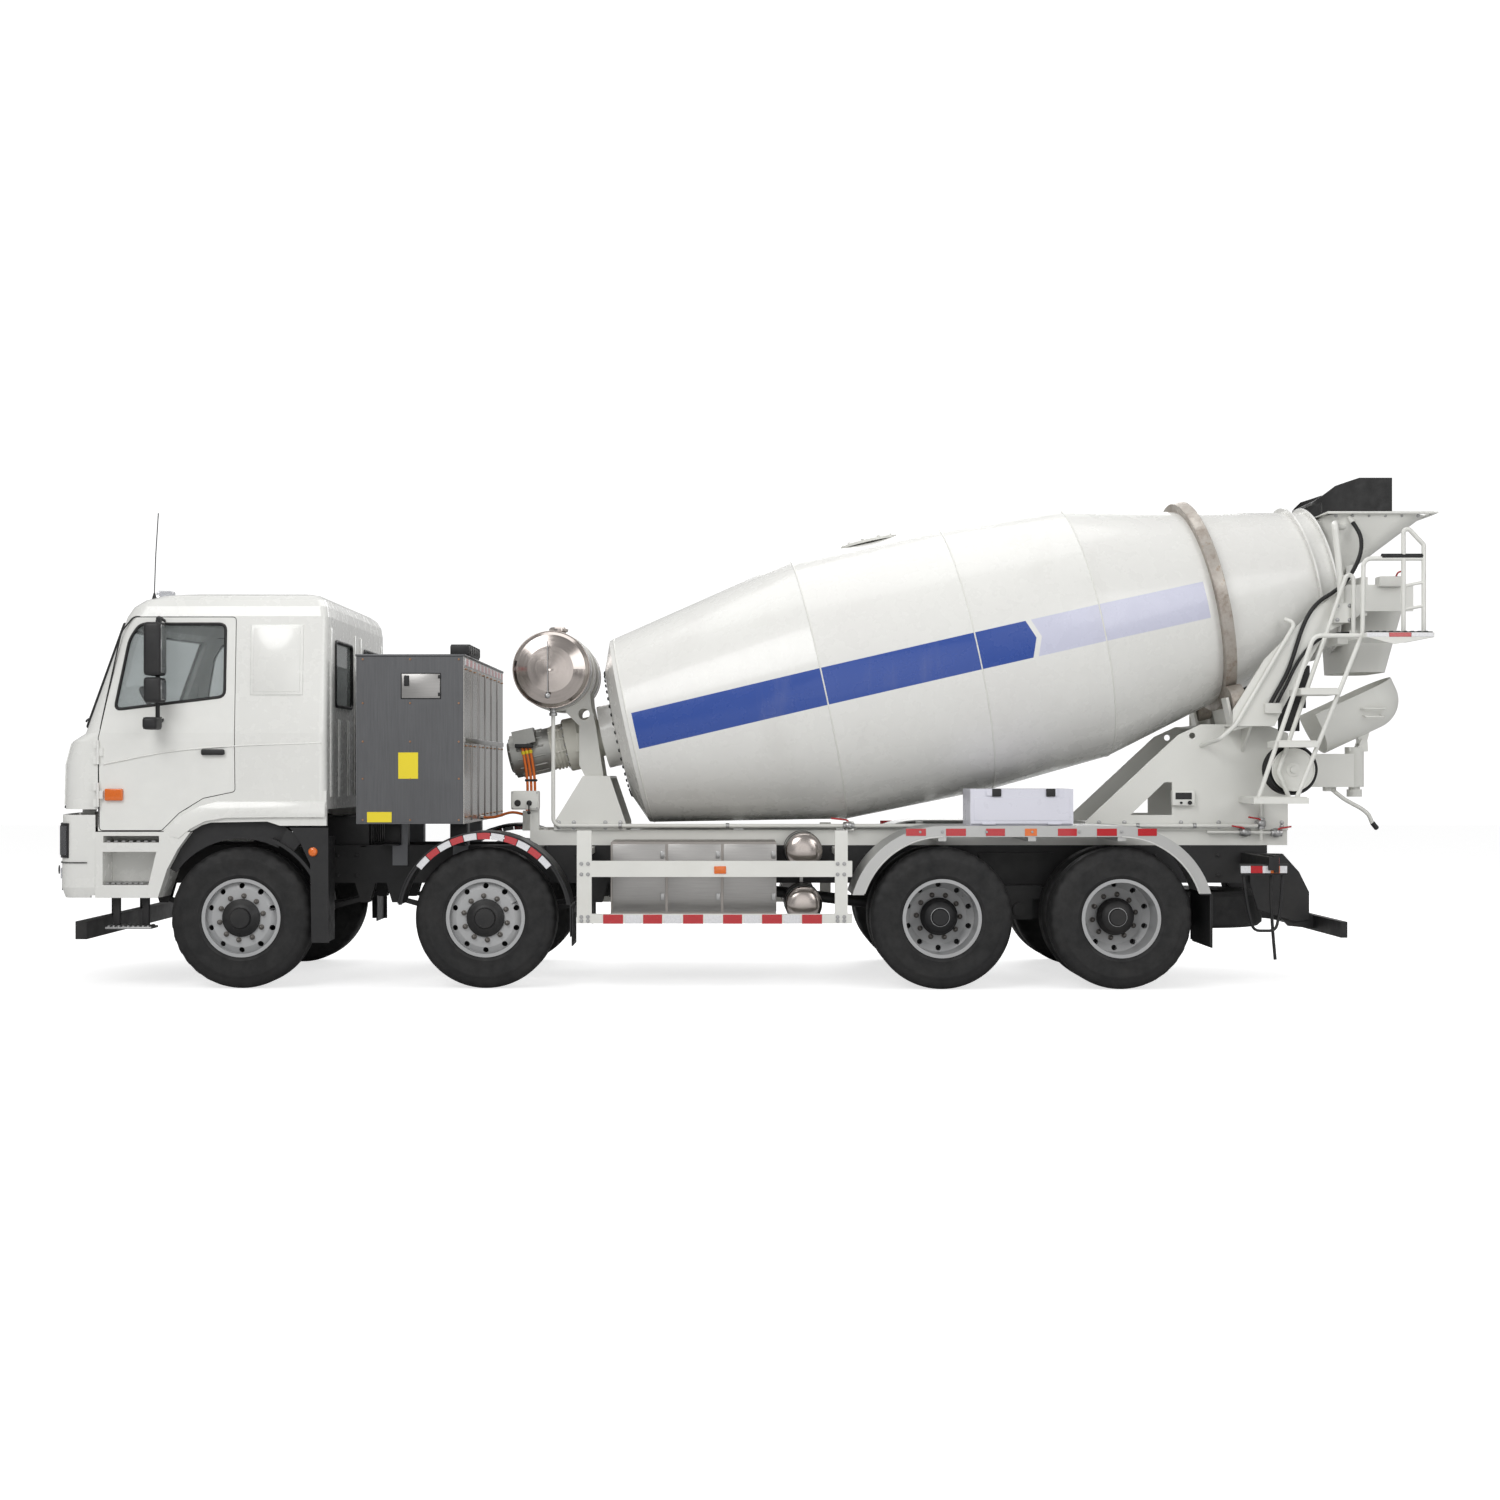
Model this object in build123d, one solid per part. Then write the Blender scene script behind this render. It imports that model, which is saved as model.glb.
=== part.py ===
from build123d import *
import os, math

# Concrete mixer truck, 8x4, millimetres. +X to the rear, +Y to the right side, +Z up,
# origin on the ground under the middle of the machine.

# Stance
front_end = -5420
front_overhang = 1538
axle_gaps = (1850, 3450, 1350)
body_half_width = 1250

# Wheels
tyre_radius = 536
tyre_width = 290
bead_radius = 286
rim_flange_radius = 298.5
rim_wall = 13
rim_width = 268
disc_bore_radius = 141
disc_thickness = 14
steer_track_half = 1030
twin_track_half = 930
twin_spacing = 350
hand_hole_count = 10
hand_hole_circle = 243
hand_hole_radius = 21
seat_gap = 0.3
running_gap = 0.05
kingpin_half = 870
kingpin_radius = 20
eye_radius = 48
eye_height = 90
spindle_radius = 45
drive_spindle_radius = 60
drum_brake_radius = 205
diff_radius = 215
diff_nose = 320

# Ladder frame
rail_outer = 430
rail_flange = 90
rail_wall = 8
rail_bottom = 760
rail_top = 1060
rail_front = -5000
rail_rear = 4090
cross_member_places = (
    -4700, -3850, -3150, -2450, -1500, -700, 150, 950, 1600, 2300, 3575, 4020,
)
cross_member_width = 70

# Springs
spring_half_length = 800
spring_inner = 350
spring_width = 70
spring_thickness = 32
bogie_spring_inner = 480
bogie_spring_width = 90
trunnion_height = 560
trunnion_radius = 50

# Cab
cab_pivot_x = -5320
cab_pivot_z = 1180
cab_floor = 1360
cab_wall = 40
door_gap = 6
door_front = -4939
door_rear = -3908
door_bottom = 1197
door_top = 2816
cab_rear = -3223
hinge_radius = 12
glass_thickness = 6

# Drum, measured along its axis from the seam where its head joins its front cone
drum_x = -960
drum_z = 1981
drum_tilt = 12.42
drum_wall = 6
drum_outline = (  # (station, outer radius)
    (-150, 255), (-122, 541), (-36, 754), (0, 765), (1531, 1075),
    (2733, 1093), (3716, 1035), (4701, 782), (5690, 560),
)
hub_station = -260
ring_station = 4701
ring_radius = 860
ring_width = 88
roller_radius = 125
roller_width = 110
roller_spread = 35
mouth_flanges = ((5525, 637), (5676, 601))

# Drum drive
reducer_stations = ((-560, -450, 215), (-450, -300, 190), (-690, -560, 170))
output_radius = 150
motor_front_station = -1010
motor_radius = 175

# Mixer frame
subframe_top = 1180
subframe_inner = 350
subframe_front = -1770
subframe_rear = 4250
pedestal_outer = 450
plate = 20

# Tanks and boxes
tank_x = -1581
tank_z = 2445
tank_radius = 300
tank_length = 1500
cabinet_front = -2996
cabinet_rear = -2183
cabinet_bottom = 1250
cabinet_top = 2523
cabinet_half = body_half_width - 15
air_tank_radius = 141
air_tank_x = 385
air_tank_heights = (628, 1037)

# Spare wheel
spare_x = 3610

# Fenders
steer_fender_radius = 655
steer_fender_inner = 630
drive_fender_radius = 699
fender_low = 715
fender_sheet = 10

# Rear end
chute_post_x = 4922
arm_top = 1789
chute_hinge_x = 4985
chute_hinge_z = 1885
chute_centre = (5030, 0, 2225)
chute_slope = 25
chute_radius = 240
chute_side = 100
chute_length = 500
chute_wall = 6
ladder_y = -1050
reel_x = 4189
reel_z = 1660
reel_radius = 163
reel_hub_radius = 60
reel_outer = -805
reel_inner = -605
hose_coil_radius = 200
pipe_y = -480
pipe_z = 1216


def block(x0, x1, y0, y1, z0, z1):
    return Pos((x0 + x1) / 2, (y0 + y1) / 2, (z0 + z1) / 2) * Box(x1 - x0, y1 - y0, z1 - z0)


def rod(start, end, radius):
    reach = Vector(*end) - Vector(*start)
    place = Plane(origin=start, z_dir=reach).location
    return place * Cylinder(radius, reach.length, align=(Align.CENTER, Align.CENTER, Align.MIN))


def prism(corners, reach):
    return extrude(make_face(Polyline(*corners, close=True)), amount=Vector(*reach).length, dir=reach)


def side_plate(outline, y0, y1):
    return prism([(x, y0, z) for x, z in outline], (0, y1 - y0, 0))


def cross_plate(outline, x0, x1):
    return prism([(x0, y, z) for y, z in outline], (x1 - x0, 0, 0))


def turned(profile):
    return revolve(make_face(Polyline(*[(r, 0, s) for r, s in profile], close=True)), Axis.Z)


def bent_tube(route, radius, bend):
    path = FilletPolyline(*route, radius=bend)
    return sweep(Plane(origin=path @ 0, z_dir=path % 0) * Circle(radius), path=path)


def both_sides(part):
    return part + mirror(part, Plane.XZ)


def joined(parts):
    whole = parts[0]
    for part in parts[1:]:
        whole = whole + part
    return whole


def disc_x(x, z, radius, y0, y1):
    return rod((x, y0, z), (x, y1, z), radius)


axle_x = [front_end + front_overhang]
for gap in axle_gaps:
    axle_x.append(axle_x[-1] + gap)
axle_z = tyre_radius
bogie_x = (axle_x[2] + axle_x[3]) / 2
steer_axles = axle_x[:2]
drive_axles = axle_x[2:]
tilt = math.radians(drum_tilt)
drum_place = Plane(
    origin=(drum_x, 0, drum_z), x_dir=(0, 1, 0), z_dir=(math.cos(tilt), 0, math.sin(tilt))
).location


def on_axis(station, out=0):
    return (
        drum_x + station * math.cos(tilt) - out * math.sin(tilt),
        drum_z + station * math.sin(tilt) + out * math.cos(tilt),
    )


# Wheels, turned about their own axle with +Z outboard


def tyre_ring(offset):
    half = tyre_width / 2
    profile = [
        (bead_radius, -120), (300, -120), (430, -half), (505, -half + 6), (tyre_radius, -half + 34),
        (tyre_radius, half - 34), (505, half - 6), (430, half), (300, 120), (bead_radius, 120),
    ]
    return Pos(0, 0, offset) * turned(profile)


def rim_ring(offset, disc_side, disc_station):
    half = rim_width / 2
    seat = bead_radius - seat_gap
    inner = seat - rim_wall
    barrel = turned([
        (seat, -121), (rim_flange_radius, -121), (rim_flange_radius, -half), (inner, -half),
        (inner, half), (rim_flange_radius, half), (rim_flange_radius, 121), (seat, 121),
    ])
    foot = disc_station - 44 * disc_side
    disc = turned([
        (inner, foot), (inner, foot + disc_thickness * disc_side),
        (222, disc_station), (disc_bore_radius, disc_station),
        (disc_bore_radius, disc_station - disc_thickness * disc_side),
        (218, disc_station - disc_thickness * disc_side),
    ])
    hole = Pos(hand_hole_circle, 0, disc_station) * Cylinder(hand_hole_radius, 120)
    for turn in range(hand_hole_count):
        disc -= Rot(0, 0, 360 * (turn + 0.5) / hand_hole_count) * hole
    return Pos(0, 0, offset) * (barrel + disc)


def brake_drum(open_end, closed_end):
    wall = 14
    return turned([
        (drum_brake_radius, open_end), (drum_brake_radius, closed_end), (100, closed_end),
        (100, closed_end - wall), (drum_brake_radius - wall, closed_end - wall),
        (drum_brake_radius - wall, open_end),
    ])


def hub(bore_radius, back, face, nose, bore_end, cap_radius):
    flange_radius = disc_bore_radius + 52
    return turned([
        (bore_radius, back), (104, back), (104, face - 30), (flange_radius, face - 30),
        (flange_radius, face - disc_thickness), (disc_bore_radius, face - disc_thickness),
        (disc_bore_radius, face + 12), (cap_radius, nose), (0, nose),
        (0, bore_end), (bore_radius, bore_end),
    ])


def steer_wheel():
    face = 118
    wheel = rim_ring(0, 1, face) + hub(
        spindle_radius + running_gap, -60, face, face + 40, 90, 62
    )
    return wheel + brake_drum(-150, -20)


def drive_wheel():
    half = twin_spacing / 2
    wheel = rim_ring(half, -1, -half) + rim_ring(-half, 1, half)
    drive_hub = turned([
        (drive_spindle_radius + running_gap, -330), (104, -330), (104, -80), (disc_bore_radius, -60),
        (disc_bore_radius, 60), (135, 70), (118, 150), (60, 175), (0, 175), (0, 75),
        (drive_spindle_radius + running_gap, 75),
    ])
    return wheel + drive_hub + brake_drum(-300, -100)


def wheel_place(axle, side):
    track = steer_track_half if axle in steer_axles else twin_track_half
    return Pos(axle, side * track, axle_z) * Rot(-90 * side, 0, 0)


# Running gear


def knuckle(axle, side):
    pin = Vector(axle, side * kingpin_half, axle_z)
    half = eye_height / 2
    lug = 40
    top = pin.Z + half + 1
    bottom = pin.Z - half - 1
    body = rod((pin.X, pin.Y, top), (pin.X, pin.Y, top + lug), eye_radius)
    body += rod((pin.X, pin.Y, bottom - lug), (pin.X, pin.Y, bottom), eye_radius)
    body += rod((pin.X, pin.Y, bottom - lug), (pin.X, pin.Y, top + lug), kingpin_radius)
    y0 = side * (kingpin_half + eye_radius + 6)
    y1 = y0 + side * 22
    ends = sorted((y0, y1))
    body += block(axle - 70, axle + 70, *ends, bottom - lug, top + lug)
    reach = sorted((side * kingpin_half, y1))
    for low in (top, bottom - lug):
        body += block(axle - 40, axle + 40, *reach, low, low + lug)
    tip = side * (steer_track_half + 88)
    return body + rod((axle, y0, axle_z), (axle, tip, axle_z), spindle_radius)


def axle_beams():
    half = eye_height / 2
    web = 26
    beams = []
    for axle in steer_axles:
        eye = rod((axle, kingpin_half, axle_z - half), (axle, kingpin_half, axle_z + half), eye_radius)
        outline = [
            (0, 380), (600, 380), (790, 491), (kingpin_half, 491), (kingpin_half, 581),
            (790, 581), (600, 470), (0, 470),
        ]
        arm = cross_plate(outline, axle - 45, axle + 45)
        recess = [(0, 398), (595, 398), (785, 510), (785, 562), (605, 452), (0, 452)]
        arm -= cross_plate(recess, axle - 46, axle - web / 2)
        arm -= cross_plate(recess, axle + web / 2, axle + 46)
        arm += eye
        arm -= rod((axle, kingpin_half, 400), (axle, kingpin_half, 700), kingpin_radius + running_gap)
        beams.append(both_sides(arm))
    for axle in drive_axles:
        tube = rod((axle, 0, axle_z), (axle, 590, axle_z), 75)
        tube += rod((axle, 590, axle_z), (axle, 1000, axle_z), drive_spindle_radius)
        pad = bogie_spring_inner + 5
        tube += block(axle - 60, axle + 60, pad, pad + 80, axle_z, leaf_base)
        tube = both_sides(tube)
        tube += rod((axle, -110, axle_z), (axle, 110, axle_z), diff_radius)
        tube += rod((axle - diff_nose, 0, axle_z + 30), (axle, 0, axle_z + 30), 90)
        beams.append(tube)
    return joined(beams)


leaf_base = 640


def underrun_bar():
    bar_half = body_half_width - 70
    hanger_inner = rail_outer - 85
    bar = block(-5130, -5044, -bar_half, bar_half, 376, 512)
    hanger = block(-5110, -5060, hanger_inner, rail_outer - 40, 512, 799)
    hanger += block(-5110, rail_front, hanger_inner, rail_outer - 40, 762, 799)
    return bar + both_sides(hanger)


def leaf_springs():
    springs = []
    y1 = spring_inner + spring_width
    for axle in steer_axles:
        low = ThreePointArc(
            (axle - spring_half_length, spring_inner, 625), (axle, spring_inner, 492),
            (axle + spring_half_length, spring_inner, 625),
        )
        high = ThreePointArc(
            (axle + spring_half_length, spring_inner, 625 + spring_thickness),
            (axle, spring_inner, 492 + spring_thickness * 1.5),
            (axle - spring_half_length, spring_inner, 625 + spring_thickness),
        )
        ends = [Line(low @ 1, high @ 0), Line(high @ 1, low @ 0)]
        leaf = extrude(make_face([low, ends[0], high, ends[1]]), amount=spring_width, dir=(0, 1, 0))
        leaf += block(axle - 75, axle + 75, spring_inner, y1, 470, 510)
        leaf += block(axle - 60, axle + 60, spring_inner, y1, 520, 560)
        for end in (-1, 1):
            leaf += disc_x(axle + end * spring_half_length, 641, 30, spring_inner, y1)
        springs.append(both_sides(leaf))
    y0 = bogie_spring_inner
    y1 = y0 + bogie_spring_width
    stack = block(bogie_x - 110, bogie_x + 110, y0, y1, trunnion_height - 80, leaf_base)
    for step, half_length in enumerate((765, 640, 520, 400, 280, 180)):
        low = leaf_base + step * 18
        stack += block(bogie_x - half_length, bogie_x + half_length, y0, y1, low, low + 18)
    stack -= disc_x(bogie_x, trunnion_height, trunnion_radius + seat_gap, y0 - 1, y1 + 1)
    springs.append(both_sides(stack))
    return joined(springs)


def ladder_frame():
    inner = rail_outer - rail_flange
    web = rail_outer - rail_wall
    outline = [
        (rail_outer, rail_bottom), (rail_outer, rail_top), (inner, rail_top),
        (inner, rail_top - rail_wall), (web, rail_top - rail_wall), (web, rail_bottom + rail_wall),
        (inner, rail_bottom + rail_wall), (inner, rail_bottom),
    ]
    frame = cross_plate(outline, rail_front, rail_rear)
    cheeks = (
        (spring_inner - seat_gap - 10, spring_inner - seat_gap),
        (spring_inner + spring_width + seat_gap, spring_inner + spring_width + seat_gap + 10),
    )
    for axle in steer_axles:
        for end in (-1, 1):
            x = axle + end * spring_half_length
            for y0, y1 in cheeks:
                frame += side_plate([(x - 35, 605), (x + 35, 605), (x + 80, rail_bottom),
                                     (x - 80, rail_bottom)], y0, y1)
    bracket = [(-260, 480), (260, 480), (300, 1000), (-300, 1000)]
    frame += side_plate([(bogie_x + x, z) for x, z in bracket], rail_outer, rail_outer + plate)
    frame += disc_x(bogie_x, trunnion_height, trunnion_radius, rail_outer, bogie_spring_inner + 120)
    ear = [
        (rail_front, rail_bottom), (rail_front, rail_top), (cab_pivot_x + 60, cab_pivot_z + 42),
        (cab_pivot_x - 38, cab_pivot_z + 42), (cab_pivot_x - 38, cab_pivot_z - 40),
        (rail_front - 150, rail_bottom),
    ]
    frame += side_plate(ear, rail_outer - 40, rail_outer)
    frame -= disc_x(cab_pivot_x, cab_pivot_z, hinge_radius + running_gap, rail_outer - 41, rail_outer + 1)
    frame = both_sides(frame)
    for x in cross_member_places:
        frame += block(x, x + cross_member_width, -web, web, 940, 1030)
    return frame


def traction_unit():
    unit = block(-1150, -250, -300, 300, 640, 930)
    for x in (-1080, -380):
        unit += block(x, x + 70, -rail_outer + rail_wall, rail_outer - rail_wall, 830, 900)
    nose_z = axle_z + 30
    nose = axle_x[2] - diff_nose
    unit += rod((-252, 0, 720), (nose - 60, 0, nose_z), 45)
    unit += rod((nose - 90, 0, nose_z), (nose, 0, nose_z), 58)
    through = (axle_x[2] + diff_radius + seat_gap, 0, nose_z)
    return unit + rod(through, (axle_x[3] - diff_nose, 0, nose_z), 45)


# Mixer frame and drum


def mixer_subframe():
    rail = block(subframe_front, subframe_rear, subframe_inner, rail_outer, rail_top, subframe_top)
    frame = both_sides(rail)
    for x in (subframe_front, -1000, -150, 700, 1500, 2400, 3300, subframe_rear - 80):
        frame += block(x, x + 80, -subframe_inner, subframe_inner, rail_top + 10, subframe_top - 10)
    # Gland block for the motor cables, and the control box on its post
    frame += block(-1850, subframe_front + 80, -240, -156, subframe_top - 10, subframe_top + 10)
    frame += block(-1850, -1730, -230, -165, subframe_top + 10, 1330)
    frame += block(subframe_front, -1700, -428, -372, subframe_top, 1350)
    case = Pos(-1807, -421, 1417) * Box(222, 98, 150)
    return frame + fillet(case.edges().filter_by(Axis.Y), 14)


def tank_saddle(y0, y1):
    outline = [
        (-1350, 1610), (-1200, 1610), (-1262, 2015), (-1300, 2180), (-1310, 2300),
        (-1500, 2240), (-1500, 2120), (-1395, 2015), (-1395, 1700),
    ]
    saddle = side_plate(outline, y0, y1)
    saddle += disc_x(tank_x, tank_z, tank_radius + 12, y0 - 20, y1 + 20)
    saddle -= disc_x(tank_x, tank_z, tank_radius + seat_gap, y0 - 30, y1 + 30)
    return saddle - disc_x(-1357, 2107, 46, y0 - 1, y1 + 1)


def front_pedestal():
    outline = [(-1580, subframe_top), (-1580, 1235), (-1350, 1610), (-1136, 1610), (-1009, 1235),
               (-1009, subframe_top)]
    stand = side_plate(outline, rail_outer, pedestal_outer)
    stand += block(-1580, -1009, subframe_inner, pedestal_outer, subframe_top, subframe_top + 15)
    stand = both_sides(stand)
    stand += block(-1350, -1136, -pedestal_outer, pedestal_outer, 1590, 1610)
    stand += prism([(-1350, -rail_outer, 1610), (-1336, -rail_outer, 1610), (-1566, -rail_outer, 1195),
                    (-1580, -rail_outer, 1195)], (0, 2 * rail_outer, 0))
    return stand + both_sides(tank_saddle(215 + seat_gap, 235))


def drum_reducer():
    parts = [rod_on_axis(-300, hub_station - seat_gap, output_radius)]
    for start, end, radius in reducer_stations:
        parts.append(rod_on_axis(start, end, radius))
    for start in (-668, -640, -612, -584):
        parts.append(rod_on_axis(start, start + 12, 182))
    x, z = on_axis(-400)
    parts.append(block(x - 70, x + 70, -215, 215, z - 90, z + 60))
    return joined(parts)


def rod_on_axis(start, end, radius):
    low = on_axis(start)
    high = on_axis(end)
    return rod((low[0], 0, low[1]), (high[0], 0, high[1]), radius)


terminal_place = Pos(-1846, -150, 1925) * Rot(0, -drum_tilt, 0)
terminal_height = 117
gland_length = 16
cable_shifts = (-30, 0, 30)
cable_diameter = 22
motor_cable_route = (
    (-1830, -200, 1852), (-1813, -201, 1771), (-1798, -205, 1684), (-1787, -204, 1596),
    (-1783, -200, 1508), (-1787, -197, 1419), (-1790, -196, 1330),
)
feed_cable_route = (
    (-1850, -200, 1300), (-1905, -202, 1317), (-1965, -205, 1315), (-2030, -207, 1291),
    (-2100, -205, 1272), (-2168, -204, 1276),
)


def corner_radii(route):
    points = [Vector(*point) for point in route]
    radii = []
    for before, corner, after in zip(points, points[1:], points[2:]):
        run_in = corner - before
        run_out = after - corner
        half_turn = math.radians(run_in.get_angle(run_out) / 2)
        radii.append(0.45 * min(run_in.length, run_out.length) / math.tan(half_turn))
    return radii


def cord_tube(route, diameter):
    radii = corner_radii(route)
    path = FilletPolyline(*route, radius=radii)
    tube = sweep(Plane(origin=path @ 0, z_dir=path % 0) * Circle(diameter / 2), path=path)
    filled = tube.volume / (math.pi * diameter ** 2 / 4 * path.length)
    print("tube", round(path.length), "mm, radii", [round(r) for r in radii], "volume", round(filled, 3))
    return tube


def motor_cables():
    lean = math.radians(drum_tilt)
    tubes = [cord_tube(feed_cable_route, cable_diameter)]
    for shift in cable_shifts:
        x, y, z = motor_cable_route[0]
        route = [(x + shift * math.cos(lean), y, z + shift * math.sin(lean))]
        route += [(x + shift, y, z) for x, y, z in motor_cable_route[1:]]
        tubes.append(cord_tube(route, cable_diameter))
    return joined(tubes)


def drum_motor():
    motor = rod_on_axis(motor_front_station, reducer_stations[2][0], motor_radius)
    box = terminal_place * Box(176, 150, terminal_height)
    for shift in cable_shifts:
        gland = Pos(shift, -50, -terminal_height / 2 - gland_length / 2)
        box += terminal_place * gland * Cylinder(14, gland_length)
    return motor + box


def drum_shell():
    outer = [(0, hub_station), (255, hub_station)] + [(r, s) for s, r in drum_outline]
    last_s, last_r = drum_outline[-1]
    inner = [(r - drum_wall, s) for s, r in reversed(drum_outline[2:-1])]
    head_s = drum_outline[1][0] + drum_wall * 3
    shell = turned(outer + [(last_r - drum_wall, last_s)] + inner + [(530, head_s), (0, head_s - 20)])
    before_s, before_r = drum_outline[-2]
    for station, radius in mouth_flanges:
        foot = before_r + (last_r - before_r) * (station - before_s) / (last_s - before_s) - 3
        shell += turned([(foot, station - 6), (radius, station - 6), (radius, station + 8),
                         (foot, station + 8)])
    return drum_place * shell


def drum_ring():
    # The ring's bore is a cone that seats on the shell's cone
    s3, r3 = drum_outline[-2]
    s2, r2 = drum_outline[-3]
    s4, r4 = drum_outline[-1]
    half = ring_width / 2
    before = r3 + (r2 - r3) * half / (s3 - s2)
    after = r3 - (r3 - r4) * half / (s4 - s3)
    gap = seat_gap
    ring = turned([
        (before + gap, ring_station - half), (ring_radius, ring_station - half),
        (ring_radius, ring_station + half), (after + gap, ring_station + half),
        (r3 + gap, ring_station),
    ])
    return drum_place * ring


def roller_centre(side):
    reach = ring_radius + seat_gap + roller_radius
    angle = math.radians(roller_spread)
    x, z = on_axis(ring_station, -reach * math.cos(angle))
    return (x, side * reach * math.sin(angle), z)


def along_axis(point, distance):
    return (point[0] + distance * math.cos(tilt), point[1], point[2] + distance * math.sin(tilt))


roller_pin_radius = 30
roller_pin_half = 90


def drum_roller(side):
    centre = roller_centre(side)
    half = roller_width / 2
    roller = rod(along_axis(centre, -half), along_axis(centre, half), roller_radius)
    bore = roller_pin_radius + running_gap
    return roller - rod(along_axis(centre, -half - 1), along_axis(centre, half + 1), bore)


def roller_bracket(side):
    centre = roller_centre(side)
    pin = rod(along_axis(centre, -roller_pin_half), along_axis(centre, roller_pin_half),
              roller_pin_radius)
    cheeks = []
    for start in (-roller_pin_half, roller_pin_half - 22):
        low = along_axis(centre, start)
        place = Plane(origin=low, x_dir=(0, 1, 0), z_dir=(math.cos(tilt), 0, math.sin(tilt))).location
        cheek = place * Pos(0, -90, 11) * Box(150, 260, 22)
        cheeks.append(cheek)
    floor = place * Pos(0, -210, 11 - roller_pin_half + 11) * Box(240, 24, 2 * roller_pin_half + 40)
    return pin + cheeks[0] + cheeks[1] + floor


pedestal_outline = (
    (2639, subframe_top), (2639, 1245), (3378, 1936), (3560, 2020), (4068, 2020), (4250, 1950),
    (4250, subframe_top),
)
pedestal_window = ((3000, 1300), (3330, 1300), (3330, 1560), (3270, 1560))
wing_outline = (
    (3743, 2000), (3743, 2126), (3990, 2520), (4330, 2865), (4640, 3103), (5150, 3103), (5150, 2896),
    (4760, 2896), (4700, 2840),
    (4465, 2730), (4140, 2153), (4068, 2000),
)
wing_inner = 700
lifting_eye = (3490, 1930)
lifting_eye_radius = 25
shelf_top = 2020


def rear_pedestal():
    frame = side_plate(pedestal_outline, rail_outer, pedestal_outer)
    frame -= side_plate(pedestal_window, rail_outer - 1, pedestal_outer + 1)
    frame -= disc_x(*lifting_eye, lifting_eye_radius, rail_outer - 1, pedestal_outer + 1)
    frame += side_plate(wing_outline, wing_inner, wing_inner + plate)
    frame += block(3743, 4068, rail_outer, wing_inner + plate, shelf_top - plate, shelf_top)
    frame += cross_plate([(pedestal_outer, 1800), (wing_inner, shelf_top - plate),
                          (pedestal_outer, shelf_top - plate)], 3880, 3900)
    frame = both_sides(frame)
    frame += block(3600, 4068, -rail_outer, rail_outer, shelf_top - plate, shelf_top)
    frame += block(4230, 4250, -rail_outer, rail_outer, subframe_top, 1950)
    frame += block(2700, 2760, -rail_outer, rail_outer, subframe_top, subframe_top + 60)
    for side in (-1, 1):
        frame += roller_bracket(side)
    # Brackets for the hopper's stays, and the block that the two hoses end in
    frame += both_sides(block(4506, 4650, wing_inner + plate, stay_y + 20, 2800, stay_foot))
    frame += block(3985, 4110, -762, -wing_inner - plate, 2100, 2178)
    rail_y = -wing_inner - plate - 16
    frame += bent_tube([(4150, -wing_inner, 2835), (4225, rail_y, 2800), (3760, rail_y, 2010),
                        (3640, rail_y, 1900), (3560, 10 - pedestal_outer, 1850)], 17, 40)
    # The arm that carries the chute post, seated on the rear plate
    arm = block(4250 + seat_gap, chute_post_x - 60, -180, 180, 1520, arm_top)
    arm += rod((chute_post_x, 0, 1520), (chute_post_x, 0, arm_top), 75)
    arm -= rod((chute_post_x, 0, 1519), (chute_post_x, 0, arm_top + 1), 45 + running_gap)
    return joined([frame, arm])


# Hopper, funnel and chutes


def loft_section(row, inset, shift):
    x0, x1, half, z = row
    place = Pos((x0 + x1) / 2, 0, z + shift)
    corner = hopper_corner * (x1 - x0) - inset
    return place * RectangleRounded(x1 - x0 - 2 * inset, 2 * half - 2 * inset, corner)


def loft_core(lower, upper):
    return loft([loft_section(lower, hopper_wall, -1), loft_section(upper, hopper_wall, 1)], ruled=True)


def hollow_loft(lower, upper, wall):
    """Open sheet-metal chute between two outlines given as (x0, x1, half width, z)."""
    outer = loft([loft_section(lower, 0, 0), loft_section(upper, 0, 0)], ruled=True)
    return outer - loft_core(lower, upper)


hopper_wall = 8
hopper_corner = 0.3
hopper_outlet = (4500, 4760, 330, 3225)
hopper_rim = (4560, 5380, 500, 3690)
funnel_top = (4740, 5200, 430, 2925)
funnel_bottom = (4740, 5100, 300, 2443)
wing_top = 3103
apron_top = 3971


stay_y = wing_inner + plate + 68
stay_foot = 2952
wing_hose_diameter = 32
wing_hose_route = (
    (4749, -500, 3615), (4782, -545, 3544), (4788, -595, 3459), (4766, -645, 3363), (4719, -690, 3268),
    (4659, -722, 3174), (4588, -739, 3094), (4509, -741, 3034), (4431, -741, 2989), (4365, -742, 2927),
    (4311, -742, 2843), (4269, -741, 2741), (4236, -741, 2640), (4204, -741, 2532), (4164, -741, 2424),
    (4114, -741, 2328), (4066, -741, 2244), (4024, -741, 2166),
)
deck_hose_diameter = 26
deck_hose_route = (
    (4640, -741, 2722), (4575, -741, 2720), (4505, -741, 2710), (4435, -741, 2693), (4378, -741, 2655),
    (4318, -741, 2603), (4267, -741, 2538), (4224, -741, 2466), (4186, -741, 2388), (4150, -741, 2311),
    (4104, -741, 2226), (4072, -741, 2160),
)


def wing_hoses():
    return joined([
        cord_tube(wing_hose_route, wing_hose_diameter),
        cord_tube(deck_hose_route, deck_hose_diameter),
    ])


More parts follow.
